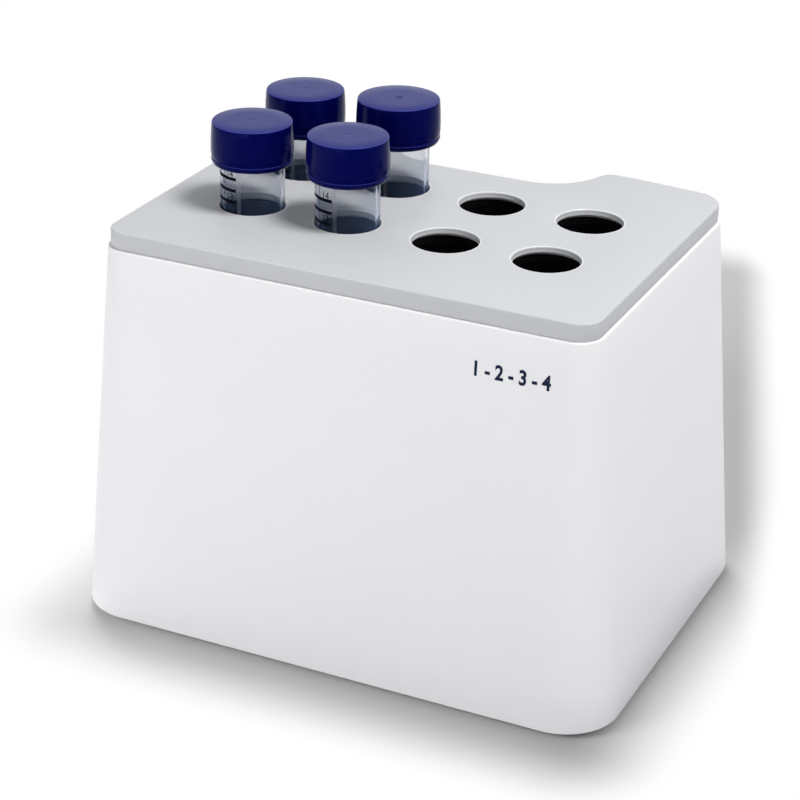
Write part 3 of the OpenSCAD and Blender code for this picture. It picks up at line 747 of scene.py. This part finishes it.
cutters = [placed(rounded_slab("pocket", 12.6, 28.1, -1.2, 3.0, 2.6), on_panel()),
           along_panel(rounded_slab("window_hole", 9.0, 5.5, -8.0, 2.0, 0.8), DISPLAY_S),
           placed(rounded_slab("switch_hole", 6.2, 8.9, -8.0, 4.0, 0.8), on_left(*SWITCH_YZ)),
           placed(upright_cylinder("inlet_hole", 5.6, -8, 4), on_left(*INLET_YZ))]
cutters += [along_panel(upright_cylinder("key_hole", KEY_R + KEY_GAP, -8, 2), s)
            for s in KEY_S.values()]
carve(casing_shell, *cutters)
dress(smooth(casing_shell, 30), casing_white, "casing_plastic", "casing")

# %% [markdown]
# ## The cover plate
# A shallow lid with a skirt, a locating lip inside and eight wells. Its top edge is
# only just broken, and each well's mouth has a fine radius that catches the light.
# A small ledge lower down guides the tube, and the bore opens out below it. The well
# cutters are turned on the lathe with all of that already in them. Each level of the
# lid and its skirt is a height and an inset.

# %% Cover plate
lid = [(Z_RIM, 0.25), (Z_RIM + 0.1, 0.06), (Z_RIM + 0.3, 0.0), (Z_RIM + 2.3, 0.0),
       (Z_TOP - 0.5, 0.0), (Z_TOP - 0.32, 0.03), (Z_TOP - 0.16, 0.12), (Z_TOP - 0.05, 0.27),
       (Z_TOP, 0.48)]
RIB_INSET, LEDGE_INSET, RIB_FOOT = 3.7, 2.2, Z_RIM - 2.6
skirt = [(Z_SKIN, RIB_INSET), (RIB_FOOT, RIB_INSET), (RIB_FOOT, LEDGE_INSET),
         (Z_RIM - 0.02, LEDGE_INSET)]
cover_lid = stack("cover_lid",
                  [(rim_outline(t), z) for z, t in skirt + lid], cap_first=True, cap_last=True)


def well_cutter(x, y):
    lip = 0.35
    profile = [(0, Z_RIM - 6), (WELL_R + 0.7, Z_RIM - 6), (WELL_R + 0.7, Z_TOP - 1.5),
               (WELL_R - 0.16, Z_TOP - 1.45), (WELL_R - 0.16, Z_TOP - 1.2),
               (WELL_R, Z_TOP - 0.98), (WELL_R, Z_TOP - lip)]
    profile += [(WELL_R + lip * (1 - math.cos(a)), Z_TOP - lip + lip * math.sin(a))
                for a in (0.4, 0.8, 1.2, math.pi / 2)]
    profile += [(WELL_R + lip, Z_TOP + 3), (0, Z_TOP + 3)]
    return lathe("well_cutter", profile, (x, y), 96)


carve(cover_lid, *[well_cutter(x, y) for x in COLUMNS for y in ROWS])
dress(smooth(cover_lid, 40), cover_grey, "cover_plastic", "cover_plate")

# %% [markdown]
# ### Pale lips, a painted highlight
# Each well's mouth gets a thin ring that is paler than the grained cover: a painted
# highlight along the lip. It could be painted in the cover's material, but a thin turned
# ring gives it a crisp edge at any distance.

# %% Lips with a painted highlight
lip_section = [(8.6, Z_TOP - 0.42), (8.61, Z_TOP - 0.3), (8.66, Z_TOP - 0.14),
               (8.78, Z_TOP + 0.0), (8.88, Z_TOP + 0.02), (9.05, Z_TOP + 0.02),
               (9.1, Z_TOP - 0.05), (8.85, Z_TOP - 0.25), (8.75, Z_TOP - 0.42),
               (8.6, Z_TOP - 0.42)]
lips = [lathe("lip", lip_section, (x, y), 72) for x in COLUMNS for y in ROWS]
well_lips = joined("well_lips", lips)
dress(smooth(well_lips, 50), lip_painted_highlight, "cover_plastic")

# %% [markdown]
# ## The tubes
# Clear plastic with a conical end. The wall is modelled with its real thickness, since
# the dark lines at a clear tube's edges come from light bending through the wall. A
# printed scale runs up one side: short and long lines with plain numbers.

# %% Tube bodies
def tube_profile():
    tip, top = TUBE_TIP, TUBE_MOUTH
    r, w, cone = TUBE_R, TUBE_WALL, TUBE_TIP + CONE_LEN
    outer = [(0, tip), (1.2, tip + 0.02), (1.9, tip + 0.25), (2.4, tip + 0.8)]
    outer += [(r - 0.35, cone - 1.2), (r - 0.08, cone - 0.2), (r, cone + 0.8)]
    neck = []
    for z in (4.6, 2.2):
        neck += [(r, top - z - 0.8), (r + 0.9, top - z - 0.25), (r + 0.9, top - z + 0.25),
                 (r, top - z + 0.8)]
    rim = [(r, top - 0.25), (r - 0.12, top - 0.06), (r - 0.3, top), (r - w + 0.25, top),
           (r - w + 0.06, top - 0.08), (r - w, top - 0.3)]
    inner = [(r - w, cone + 1.0), (r - w - 0.1, cone + 0.1), (r - w - 0.4, cone - 1.0),
             (1.5, tip + 1.9), (1.0, tip + 1.45), (0, tip + 1.3)]
    return outer + neck + rim + inner


def tube_name(i):
    return f"tube_{i}"


def centre_of(i):
    column, row = TUBES[i]
    return COLUMNS[column], ROWS[row]


for i in TUBES:
    clear = lathe(f"clear_tube_{i}", tube_profile(), centre_of(i), 80)
    dress(smooth(clear, 40), tube_clear, "tube_clear", tube_name(i), body=tube_name(i))

# %% [markdown]
# ### The printed scale
# Each mark is a thin strip of ink bent round the tube. A flat strip is modelled once,
# then every point is wrapped: its sideways distance becomes an angle.


# %% Printed scale
SCALE_R = TUBE_R + 0.02
INK = 0.02


def wrap_round(obj, centre, facing):
    """Bends a flat mark (x sideways, z up) round an upright axis."""
    for v in obj.data.vertices:
        a = facing + v.co.x / (TUBE_R * MM)
        r = SCALE_R * MM + v.co.y
        v.co = (centre[0] * MM + r * math.cos(a), centre[1] * MM + r * math.sin(a), v.co.z)
    obj.data.update()
    return obj


def flat_strip(x0, x1, z0, z1, lengths):
    """A flat strip of ink, cut into short lengths so that it can bend."""
    deselect_all()
    bpy.ops.mesh.primitive_grid_add(x_subdivisions=lengths, y_subdivisions=1, size=1)
    obj = named("strip")
    obj.scale = ((x1 - x0) * MM, (z1 - z0) * MM, 1)
    obj.rotation_euler = (math.pi / 2, 0, 0)
    obj.location = ((x0 + x1) / 2 * MM, 0, (z0 + z1) / 2 * MM)
    settle(obj)
    edit_all()
    pull(0, INK, 0)
    close_edit()
    return obj


def flat_text(words, size, name="text", thick=INK, bold=0.0):
    """Plain digits as a mesh in local XZ, centred, standing on z = 0."""
    deselect_all()
    bpy.ops.object.text_add()
    obj = bpy.context.object
    obj.name = name
    obj.data.body = words
    obj.data.size = size * MM
    obj.data.align_x = "CENTER"
    obj.data.extrude = thick * MM / 2
    obj.data.offset = bold * MM
    bpy.ops.object.convert(target="MESH")
    obj = named(name)
    obj.rotation_euler = (math.pi / 2, 0, 0)
    return settle(obj)


SCALE_STEP, SCALE_TOP, SCALE_LINES, TOP_NUMBER = 3.1, Z_TOP + 8.0, 24, 14
MARK_X, MARK_THICK, DIGIT_X, DIGIT_SIZE = (-3.8, 4.6), 0.86, 2.6, 3.0
NARROW, FACING, TUBE_1_SHIFT = Matrix.Diagonal((0.8, 1, 1, 1)), math.radians(-124), 1.1
scale_marks = []
for k in range(SCALE_LINES):
    z = SCALE_TOP - k * SCALE_STEP
    scale_marks.append(flat_strip(*MARK_X, z - MARK_THICK / 2, z + MARK_THICK / 2, 10))
    if k % 2 == 0:
        digits = flat_text(str(TOP_NUMBER - k // 2), DIGIT_SIZE)
        scale_marks.append(placed(digits, shift(DIGIT_X, 0, z + 0.3) @ NARROW))
scale_flat = joined("scale_flat", scale_marks)
for i in TUBES:
    printed = copy_of(scale_flat, f"printed_scale_{i}")
    wrap_round(printed, centre_of(i), FACING)
    placed(printed, shift(0, 0, TUBE_1_SHIFT if i == 1 else 0))
    tidy_mesh(printed)
    dress(printed, ink_black, "part_plastic", body=tube_name(i))
delete(scale_flat)


# %% [markdown]
# ### The frosted strip, partly a painted highlight
# A narrow matt strip runs beside the scale. Its pale tone also stands in as a painted
# highlight down the tube. It is the same flat strip as the marks, cut into fewer lengths
# and wrapped round the tube in the same way.

# %% Frosted strip, partly a painted highlight
for i in TUBES:
    frosted_highlight = flat_strip(4.95, 5.95, TUBE_TIP + CONE_LEN + 2, CAP_Z + 0.6, 4)
    frosted_highlight.name = f"frosted_highlight_strip_{i}"
    frosted_highlight.data.name = frosted_highlight.name
    wrap_round(frosted_highlight, centre_of(i), FACING)
    tidy_mesh(frosted_highlight)
    dress(smooth(frosted_highlight, 60), strip_frosted_highlight, "tube_clear", body=tube_name(i))

# %% [markdown]
# ## The caps
# Dark blue screw caps with plain sides. The section has a broken top edge, barely
# barrelled sides and a tucked-in lower edge that carries a thin highlight. A small gate
# mark from moulding sits in the middle of the top. The loosened cap of the fourth tube is
# a slightly bigger one, and the third is not quite screwed home.


# %% Caps
CAP_WALL_GAP = 1.0


def cap_profile(z, r, h, gate):
    bore = TUBE_R + CAP_WALL_GAP
    lower = [(bore, z + 0.15), (bore + 0.12, z), (r - 0.62, z), (r - 0.45, z + 0.14),
             (r - 0.28, z + 0.45), (r - 0.13, z + 0.85), (r - 0.06, z + 1.2),
             (r - 0.09, z + 1.28), (r - 0.19, z + 1.45), (r - 0.21, z + 1.55),
             (r - 0.2, z + 1.7), (r - 0.1, z + 2.1)]
    side = [(r - 0.03, z + 2.7), (r, z + 4.4), (r - 0.03, z + 6.0), (r - 0.1, z + 8.0),
            (r - 0.2, z + 9.4), (r - 0.3, z + h - 0.62)]
    top = [(r - 0.34, z + h - 0.4), (r - 0.43, z + h - 0.2), (r - 0.57, z + h - 0.06),
           (r - 0.78, z + h), (6.0, z + h), (1.1, z + h), (0.95, z + h), (0.85, z + h - gate),
           (0.5, z + h - gate), (0.42, z + h - 0.03), (0.3, z + h - 0.02), (0, z + h - 0.02)]
    under = [(0, z + h - 1.1), (bore - 0.5, z + h - 1.1), (bore, z + h - 1.5),
             (bore, z + 0.15)]
    return lower + side + top + under


# For each cap: its lift, its extra radius and height, and the depth of its gate mark.
CAP_TRAITS = {1: (0, 0, 0, 0.05), 2: (0, 0, 0, 0.05), 3: (0.5, 0, 0, 0.05),
              4: (CAP_4_LIFT - 0.3, 0.42, 0.3, 0.2)}
blue_caps = []
for i, (lift, wider, taller, gate) in CAP_TRAITS.items():
    profile = cap_profile(CAP_Z + lift, CAP_R + wider, CAP_H + taller, gate)
    blue = lathe(f"blue_cap_{i}", profile, centre_of(i), 96)
    dress(smooth(blue, 50), cap_blue, "cap_plastic", f"cap_{i}", body=f"cap_{i}")
    blue_caps.append(blue)

# %% [markdown]
# ## The control panel
# The slope at the back of the recess carries a dark overlay with a small display and
# three round keys. The overlay is a rounded plate with a broken edge, and its window and
# key holes are cut through it. This side is read from behind the heater, so its words
# and digits are turned half way round.

# %% Overlay and its window
FACE_OUT = Matrix.Rotation(math.pi, 4, "Z")
overlay = placed(rounded_slab("panel_overlay", 12.4, 27.9, -1.2, 0.2, 2.4, edge=0.3),
                 on_panel())
key_cuts = [along_panel(upright_cylinder("key_cut", KEY_R + KEY_GAP, -3, 2), s)
            for s in KEY_S.values()]
window_cut = along_panel(rounded_slab("window_cut", 10.0, 6.5, -2.0, 2.0, 1.0), DISPLAY_S)
carve(overlay, window_cut, *key_cuts)
dress(smooth(overlay, 30), panel_slate, "panel_plastic", "control_panel")

frame_ring = rounded_slab("window_frame", 10.9, 7.4, 0.15, 0.45, 1.7, edge=0.14)
carve(frame_ring, rounded_slab("frame_cut", 10.0, 6.5, -1.0, 2.0, 1.0))
along_panel(frame_ring, DISPLAY_S)
dress(smooth(frame_ring, 30), key_grey, "key_plastic")

lens = along_panel(rounded_slab("tinted_window", 9.9, 6.4, -1.2, 0.05, 0.95, edge=0.2),
                   DISPLAY_S)
dress(smooth(lens, 30), window_tint, "window_plastic", "display_window")

# %% [markdown]
# ### Display digits
# A display like this has seven bars for each digit. One bar is modelled with chamfered
# ends, then copied, turned and placed; the lit bars glow a little and the others stay
# dark. It shows 37.0, a common setting for such a heater.

# %% Seven-bar digits
BAR_PLACE = {"a": (0, 3.6, False), "b": (1.7, 1.8, True), "c": (1.7, -1.8, True),
             "d": (0, -3.6, False), "e": (-1.7, -1.8, True), "f": (-1.7, 1.8, True),
             "g": (0, 0, False)}
LIT_BARS = {"3": "abgcd", "7": "abc", "0": "abcdef"}
BAR_Y, DIGIT_PITCH = (2.82, 3.0), 5.7


bar = rounded_slab("display_bar", 1.35, 0.32, *BAR_Y, 0.28, segments=1)
lit, dim = [], []
for digit, middle in zip("370", (-DIGIT_PITCH, 0.0, DIGIT_PITCH)):
    for letter, (x, z, upright) in BAR_PLACE.items():
        piece = copy_of(bar, "bar_" + letter)
        turn = Matrix.Rotation(math.pi / 2 if upright else 0, 4, "Y")
        placed(piece, shift(x + middle, 0, z) @ turn)
        (lit if letter in LIT_BARS[digit] else dim).append(piece)
point = rounded_slab("point", 0.4, 0.4, *BAR_Y, 0.3)
lit.append(placed(point, shift(DIGIT_PITCH / 2, 0, -3.5)))
delete(bar)
display_place = on_panel() @ shift(0, 0, DISPLAY_S) @ FACE_OUT
lit_digits = placed(joined("lit_digits", lit), display_place)
dress(lit_digits, digit_red, "digit_light", "display_digits")
dark_bars = placed(joined("dark_bars", dim), display_place)
dress(dark_bars, bar_dark, "part_plastic")

# %% [markdown]
# ### Keys
# Each key is a round button with a flange that holds it in from behind and a dished top
# for a fingertip. It is turned on the lathe and laid over, so that it points out of the
# slope. A printed mark on top says what it does: an arrow up, an arrow down, and a ring.

# %% Keys
key_section = [(0, -3.6), (4.45, -3.6), (4.6, -3.5), (4.6, -3.02), (4.5, -2.9), (3.6, -2.9),
               (3.6, 0.72), (3.55, 0.92), (3.42, 1.1), (3.2, 1.24), (2.95, 1.3),
               (2.6, 1.26), (2.0, 1.14), (1.2, 1.06), (0, 1.03)]
LAID_OVER = Matrix.Rotation(-math.pi / 2, 4, "X")
key_blank = placed(lathe("key_blank", key_section, (0, 0), 64), LAID_OVER)


def key_mark(name):
    """An arrow or a ring, as a thin print on the key's dished top."""
    deselect_all()
    sides = 48 if name == "key_set" else 3
    bpy.ops.mesh.primitive_circle_add(vertices=sides, radius=1.5 * MM, fill_type="NGON")
    mark = named(name + "_mark")
    edit_all()
    if name == "key_set":
        bpy.ops.mesh.inset(thickness=0.45 * MM, depth=0)
        bpy.ops.mesh.delete(type="FACE")
        bpy.ops.mesh.select_all(action="SELECT")
    pull(0, 0, 0.16)
    close_edit()
    tidy_mesh(mark)
    half_turn = Matrix.Rotation(math.pi if name == "key_up" else 0, 4, "Y")
    return placed(mark, half_turn @ shift(0, 1.04, 0) @ LAID_OVER)


for name, s in KEY_S.items():
    key = along_panel(copy_of(key_blank, name.replace("key", "round_key")), s)
    dress(smooth(key, 40), key_grey, "key_plastic", name, body=name)
    mark = placed(key_mark(name), on_panel() @ shift(0, 0, s))
    dress(mark, ink_navy, "part_plastic", body=name)
delete(key_blank)


# %% [markdown]
# ### Words beside the keys
# Pale print names the keys and the unit. Text objects become thin meshes, because a
# print then keeps its own piece and its own finish.


# %% Words on the overlay
def panel_words(words, size, x, z, name):
    """Pale print on the overlay, read from behind; x runs to the reader's right."""
    obj = flat_text(words, size, name, thick=0.04, bold=0.03)
    turn = on_panel() @ shift(0, 0.215, 0) @ FACE_OUT
    placed(obj, turn @ shift(x, 0, z))
    return dress(obj, ink_white, "key_plastic")


panel_words("SET", 2.4, -8.2, KEY_S["key_set"] - 0.9, "set_word")
panel_words("°C", 2.4, 8.4, KEY_S["key_set"] + 4.4, "unit_word")
panel_words("+", 3.0, -8.2, KEY_S["key_up"] - 1.0, "more_mark")
panel_words("-", 3.0, -8.2, KEY_S["key_down"] - 1.0, "less_mark")

# %% [markdown]
# ## Switch and inlet on the left end
# A rocker switch snaps into a rectangular hole: a bezel lies on the casing and a box
# with the contacts passes through it. The inlet below is a round socket held by a
# six-sided nut. Both are cut from rounded blocks and lathe work.

# %% Switch housing
bezel = rounded_slab("switch_bezel", 7.0, 10.0, 0.0, 1.4, 1.6, edge=0.45)
switch_box = rounded_slab("switch_box", 6.0, 8.7, -11.0, 0.02, 0.7)
for part in (bezel, switch_box):
    carve(part, rounded_slab("switch_hollow", 4.6, 7.3, -8.4, 3.6, 0.7))
switch_frame = placed(joined("switch_frame", [bezel, switch_box]), on_left(*SWITCH_YZ))
dress(smooth(switch_frame, 30), switch_black, "switch_plastic", "switch_housing")

# %% [markdown]
# ### The rocker
# Its side view is one closed outline with a shallow dip on top, raised from one end of
# the pivot to the other. The two end levels are a little smaller, which breaks the
# edges. It rests tilted to one side, and the pivot pin is joined to it.

# %% Rocker
rocker_side = [(-4.0, -3.2), (1.2, -6.4), (4.3, -6.4), (4.52, -6.3), (4.6, -6.08),
               (4.18, -4.0), (3.78, -2.0), (3.52, -0.5), (3.48, 0), (3.52, 0.5),
               (3.78, 2.0), (4.18, 4.0), (4.6, 6.08), (4.52, 6.3), (4.3, 6.4),
               (1.2, 6.4), (-4.0, 3.2)]
narrower = [(0.4 + (y - 0.4) * 0.945, z * 0.965) for y, z in rocker_side]
rocker_body = stack("rocker_body", [(narrower, -4.3), (rocker_side, -4.02),
                                    (rocker_side, 4.02), (narrower, 4.3)],
                    cap_first=True, cap_last=True)
LENGTHWAYS = Matrix(((0, 0, 1, 0), (1, 0, 0, 0), (0, 1, 0, 0), (0, 0, 0, 1)))
placed(rocker_body, LENGTHWAYS)
deselect_all()
bpy.ops.mesh.primitive_cylinder_add(vertices=32, radius=1.0 * MM, depth=10.6 * MM)
pivot = named("rocker_pivot")
pivot.rotation_euler = (0, math.pi / 2, 0)
settle(pivot)
edit_all()
bevel_edges(0.12, 2, clamp=True)
close_edit()
ROCKER_TILT = math.radians(8)
rocker_place = (on_left(*SWITCH_YZ) @ shift(0, -3.0, 0)
                @ Matrix.Rotation(ROCKER_TILT, 4, "X"))
rocker = placed(joined("rocker", [rocker_body, pivot]), rocker_place)
dress(smooth(rocker, 30), switch_black, "switch_plastic", "power_rocker",
      body="power_rocker")
lean = math.atan(1.12 / 6.1)
for words, side in (("I", 1), ("O", -1)):
    mark = flat_text(words, 3.6, "on_mark" if side > 0 else "off_mark", thick=0.08, bold=0.05)
    mark.data.transform(shift(0, 0, -1.25))
    seat = (shift(0, 4.07, 3.3 * side)
            @ Matrix.Rotation(-lean * side, 4, "X") @ FACE_OUT)
    placed(mark, rocker_place @ seat)
    dress(mark, ink_white, "key_plastic", body="power_rocker")

# %% [markdown]
# ### Inlet and its nut
# A round socket is pure lathe work, so half of its section is drawn and spun. The nut
# starts as a six-sided cylinder with bevelled edges, and its bore is cut out of it.

# %% Inlet and its nut
socket_section = [(0, -13), (5.1, -13), (5.3, -12.8), (5.3, -4), (6.9, -4), (7.0, -3.9),
                  (7.0, -2.5), (5.3, -2.5), (5.3, 1.5), (5.22, 1.7), (5.05, 1.8),
                  (3.35, 1.8), (3.05, 1.7), (2.86, 1.5), (2.8, 1.2), (2.8, -7.5), (0, -7.5)]
inlet_socket = placed(lathe("inlet_socket", socket_section, (0, 0), 64),
                      on_left(*INLET_YZ) @ LAID_OVER)
dress(smooth(inlet_socket, 35), switch_black, "switch_plastic", "dc_inlet")

deselect_all()
bpy.ops.mesh.primitive_cylinder_add(vertices=6, radius=7.2 * MM, depth=1.5 * MM)
nut = named("hex_nut")
nut.location = (0, 0, 0.75 * MM)
settle(nut)
edit_all()
bevel_edges(0.22, 3)
close_edit()
nut_bore = lathe("nut_bore", [(0, -1), (5.34, -1), (5.34, 1.3), (5.6, 1.56), (5.6, 3), (0, 3)],
                 (0, 0), 64)
carve(nut, nut_bore)
placed(nut, on_left(*INLET_YZ) @ LAID_OVER)
dress(smooth(nut, 30), screw_zinc, "screw_steel", "inlet_nut")

# %% [markdown]
# ## Feet
# Four rubber pads keep the casing just off the bench. Each is a shallow turned disc with
# a rounded edge and a sunk middle, so that only its rim touches the bench.

# %% Rubber feet
foot_section = [(0, 0.35), (2.9, 0.35), (3.2, 0.28), (3.45, 0.08), (3.7, 0), (5.2, 0),
                (5.45, 0.06), (5.62, 0.24), (5.75, 0.5), (6.2, 1.1), (6.2, 2.0), (0, 2.0)]
foot_blank = lathe("foot_blank", foot_section, (0, 0), 48)
pads = [placed(copy_of(foot_blank, "pad"), shift(x, y, 0))
        for x in (-58, 58) for y in (-30, 32)]
delete(foot_blank)
foot_pads = joined("foot_pads", pads)
dress(smooth(foot_pads, 35), rubber_black, "foot_rubber", "rubber_feet")

# %% [markdown]
# ## Printed mark on the long face
# The plain long face carries one small printed line near its upper right corner. Here
# it holds the numbers of the four columns of wells, level with the rim.

# %% Column numbers
LINE_PLACE, LINE_WIDTH = (46.4, 91.2), 19.5
column_print = flat_text("1 - 2 - 3 - 4", 5.2, "column_numbers", thick=0.04, bold=0.16)
low = min(v.co.x for v in column_print.data.vertices)
high = max(v.co.x for v in column_print.data.vertices)
squeeze = LINE_WIDTH * MM / (high - low)
column_print.data.transform(Matrix.Diagonal((squeeze, 1, 1, 1)))
lie_flat = Matrix.Rotation(-math.pi / 2, 4, "X")
placed(column_print, on_front(*LINE_PLACE) @ shift(0, 0, 0.03) @ lie_flat)
dress(column_print, ink_navy, "panel_plastic")

# %% [markdown]
# ## Floor, light and camera
# A pale floor and soft studio lamps: one above and to the right, a low one on each
# side, one in front for the foot of the long face, a small one for the caps alone, and two
# that light the floor alone, so that the casing's shadow falls to the right and under the
# long face. Near the casing the floor is painted grey where the camera sees it, a painted
# shade that deepens those shadows, and a little way off it turns to plain white.

# %% Floor
deselect_all()
bpy.ops.mesh.primitive_plane_add(size=6)
studio_floor = named("studio_floor")
floor_mat, floor, floor_bsdf = blank_material("floor_white")
shaded(floor_mat, {"Roughness": 0.9})
# The camera sees the floor painted grey in a patch round the casing, a painted shade on
# top of the lamps' real shadows. The patch reaches this far from its middle, by X, by Y
# and along a slanted line.
GREY_MIDDLE, GREY_REACH, SLANT = (0, 0.1, 0), (0.067, 0.156, 0.176), (1.919, 0.619, 0)
FADE_WIDTH = 0.030
ray = add_node(floor, "LightPath")
painted_shade_mix = add_node(floor, "Mix", {"A": (0.86, 0.86, 0.87, 1), "B": (0.50, 0.492, 0.482, 1)},
                 data_type="RGBA")
ground = add_node(floor, "TexCoord")
shifted = add_node(floor, "VectorMath", {1: GREY_MIDDLE}, operation="SUBTRACT")
folded = add_node(floor, "VectorMath", operation="ABSOLUTE")
slanted = add_node(floor, "VectorMath", {1: SLANT}, operation="DOT_PRODUCT")
sides = add_node(floor, "VectorMath", {1: (0, 0, 1)}, operation="MULTIPLY_ADD")
beyond = add_node(floor, "VectorMath", {1: GREY_REACH}, operation="SUBTRACT")
outside_only = add_node(floor, "VectorMath", {1: (0, 0, 0)}, operation="MAXIMUM")
away = add_node(floor, "VectorMath", operation="LENGTH")
fade = add_node(floor, "MapRange", {"From Min": 0.0, "From Max": FADE_WIDTH},
                interpolation_type="SMOOTHSTEP")
looked_at = add_node(floor, "Math", operation="MAXIMUM")
to_white = add_node(floor, "Math", operation="MULTIPLY")
pure_white = add_node(floor, "Emission", {"Strength": 1.0})
blend = add_node(floor, "MixShader")
wire(floor, (ray, "Is Camera Ray", painted_shade_mix, "Factor"),
     (painted_shade_mix, "Result", floor_bsdf, "Base Color"), (ground, "Object", shifted, 0),
     (shifted, 0, folded, 0), (ground, "Object", slanted, 0), (slanted, "Value", sides, 0),
     (folded, 0, sides, 2), (sides, 0, beyond, 0), (beyond, 0, outside_only, 0),
     (outside_only, 0, away, 0), (away, "Value", fade, "Value"),
     (ray, "Is Camera Ray", looked_at, 0), (ray, "Is Transmission Ray", looked_at, 1),
     (fade, "Result", to_white, 0), (looked_at, 0, to_white, 1),
     (to_white, 0, blend, "Fac"), (floor_bsdf, 0, blend, 1), (pure_white, 0, blend, 2),
     (blend, 0, floor.nodes["Material Output"], "Surface"))
finish_with(studio_floor, floor_mat)

# %% [markdown]
# ### The world
# The world is plain white where it is looked at, and gives the pieces only a weak fill.
# Their reflections see it bright towards the back and dark towards the front, as in a
# studio with a white back wall.

# %% World
world = bpy.data.worlds.new("studio")
bpy.context.scene.world = world
world.use_nodes = True
air = world.node_tree
air.nodes.clear()
FILL_STRENGTH, TOWARDS_BACK = 0.38, (-0.42, 0.91, 0)
paths = add_node(air, "LightPath")
plain_view = add_node(air, "Math", operation="MAXIMUM")
sky = add_node(air, "TexCoord")
towards_back = add_node(air, "VectorMath", {1: TOWARDS_BACK}, operation="DOT_PRODUCT")
studio_dark = add_node(air, "MapRange", {"From Min": -0.3, "From Max": 0.5, "To Min": 0.03},
                       interpolation_type="SMOOTHSTEP")
mirrored_sky = add_node(air, "Mix", {"A": FILL_STRENGTH})
shown = add_node(air, "Background", {"Color": (1, 1, 1, 1)})
fill = add_node(air, "Background", {"Color": (0.93, 0.95, 1, 1)})
both = add_node(air, "MixShader")
out = add_node(air, "OutputWorld")
wire(air, (paths, "Is Camera Ray", plain_view, 0),
     (paths, "Is Transmission Ray", plain_view, 1), (sky, "Generated", towards_back, 0),
     (towards_back, "Value", studio_dark, "Value"),
     (paths, "Is Glossy Ray", mirrored_sky, "Factor"),
     (studio_dark, "Result", mirrored_sky, "B"), (mirrored_sky, "Result", fill, "Strength"),
     (plain_view, 0, both, "Fac"), (fill, 0, both, 1), (shown, 0, both, 2),
     (both, 0, out, "Surface"))

# %% [markdown]
# ### Lamps
# Wide rectangles give soft shadows. Light linking decides what a lamp reaches: two leave
# the floor out, two light nothing but the floor, and the smallest lights only the caps.


# %% Lamps
def lamp(name, place, look, size, power, linked=None, things=()):
    """An area lamp; `linked` keeps things out of its light, or gives it to them alone."""
    data = bpy.data.lights.new(name, "AREA")
    data.shape = "RECTANGLE"
    data.size, data.size_y = size
    data.energy = power
    obj = bpy.data.objects.new(name, data)
    bpy.context.scene.collection.objects.link(obj)
    obj.location = place
    obj.rotation_mode = "QUATERNION"
    obj.rotation_quaternion = (Vector(look) - Vector(place)).to_track_quat("-Z", "Y")
    if linked:
        group = bpy.data.collections.new(name)
        for index, thing in enumerate(things):
            group.objects.link(thing)
            group.collection_objects[index].light_linking.link_state = linked
        obj.light_linking.receiver_collection = group


NOT_FLOOR, FLOOR_ONLY = ("EXCLUDE", [studio_floor]), ("INCLUDE", [studio_floor])
lamp("lamp_above", (0.35, -0.03, 0.92), (0, 0, 0.1), (0.26, 0.26), 7.5, *NOT_FLOOR)
lamp("lamp_left", (-0.50, -0.93, 0.28), (0, 0, 0.05), (0.5, 0.6), 2.0)
lamp("lamp_right", (0.95, -0.25, 0.22), (0, 0, 0.03), (0.4, 0.4), 0.38)
lamp("lamp_low", (0.06, -0.98, 0.10), (0.03, 0, 0.03), (0.5, 0.16), 1.2, *NOT_FLOOR)
lamp("lamp_glint", (-0.31, -0.76, 0.66), (-0.03, 0, 0.12), (0.04, 0.04), 1.3,
     "INCLUDE", blue_caps)
lamp("floor_from_behind", (-0.30, 0.36, 0.80), (0, 0, 0), (0.3, 0.3), 5.2, *FLOOR_ONLY)
lamp("floor_from_left", (-0.50, -0.68, 0.45), (0, 0, 0), (0.3, 0.3), 4.8, *FLOOR_ONLY)

# %% [markdown]
# ### Camera
# A long lens keeps the upright edges nearly parallel. Two rough axes are given as
# vectors, and cross products turn them into three that are exactly square.

# %% Camera
VIEW_PLACE, LENS, SENSOR = (0.23648, -0.52552, 0.32618), 107.695, 36.0
up = Vector((-0.198, 0.3775, 0.9046))
back = Vector((0.9041, 0.4269, 0.0198)).cross(up).normalized()
right = up.cross(back).normalized()
camera_data = bpy.data.cameras.new("view")
camera_data.lens = LENS
camera_data.sensor_width = SENSOR
camera = bpy.data.objects.new("view", camera_data)
bpy.context.scene.collection.objects.link(camera)
turn = Matrix((right, back.cross(right), back)).transposed()
camera.matrix_world = Matrix.Translation(VIEW_PLACE) @ turn.to_4x4()
bpy.context.scene.camera = camera
bpy.context.scene.view_settings.view_transform = "Standard"
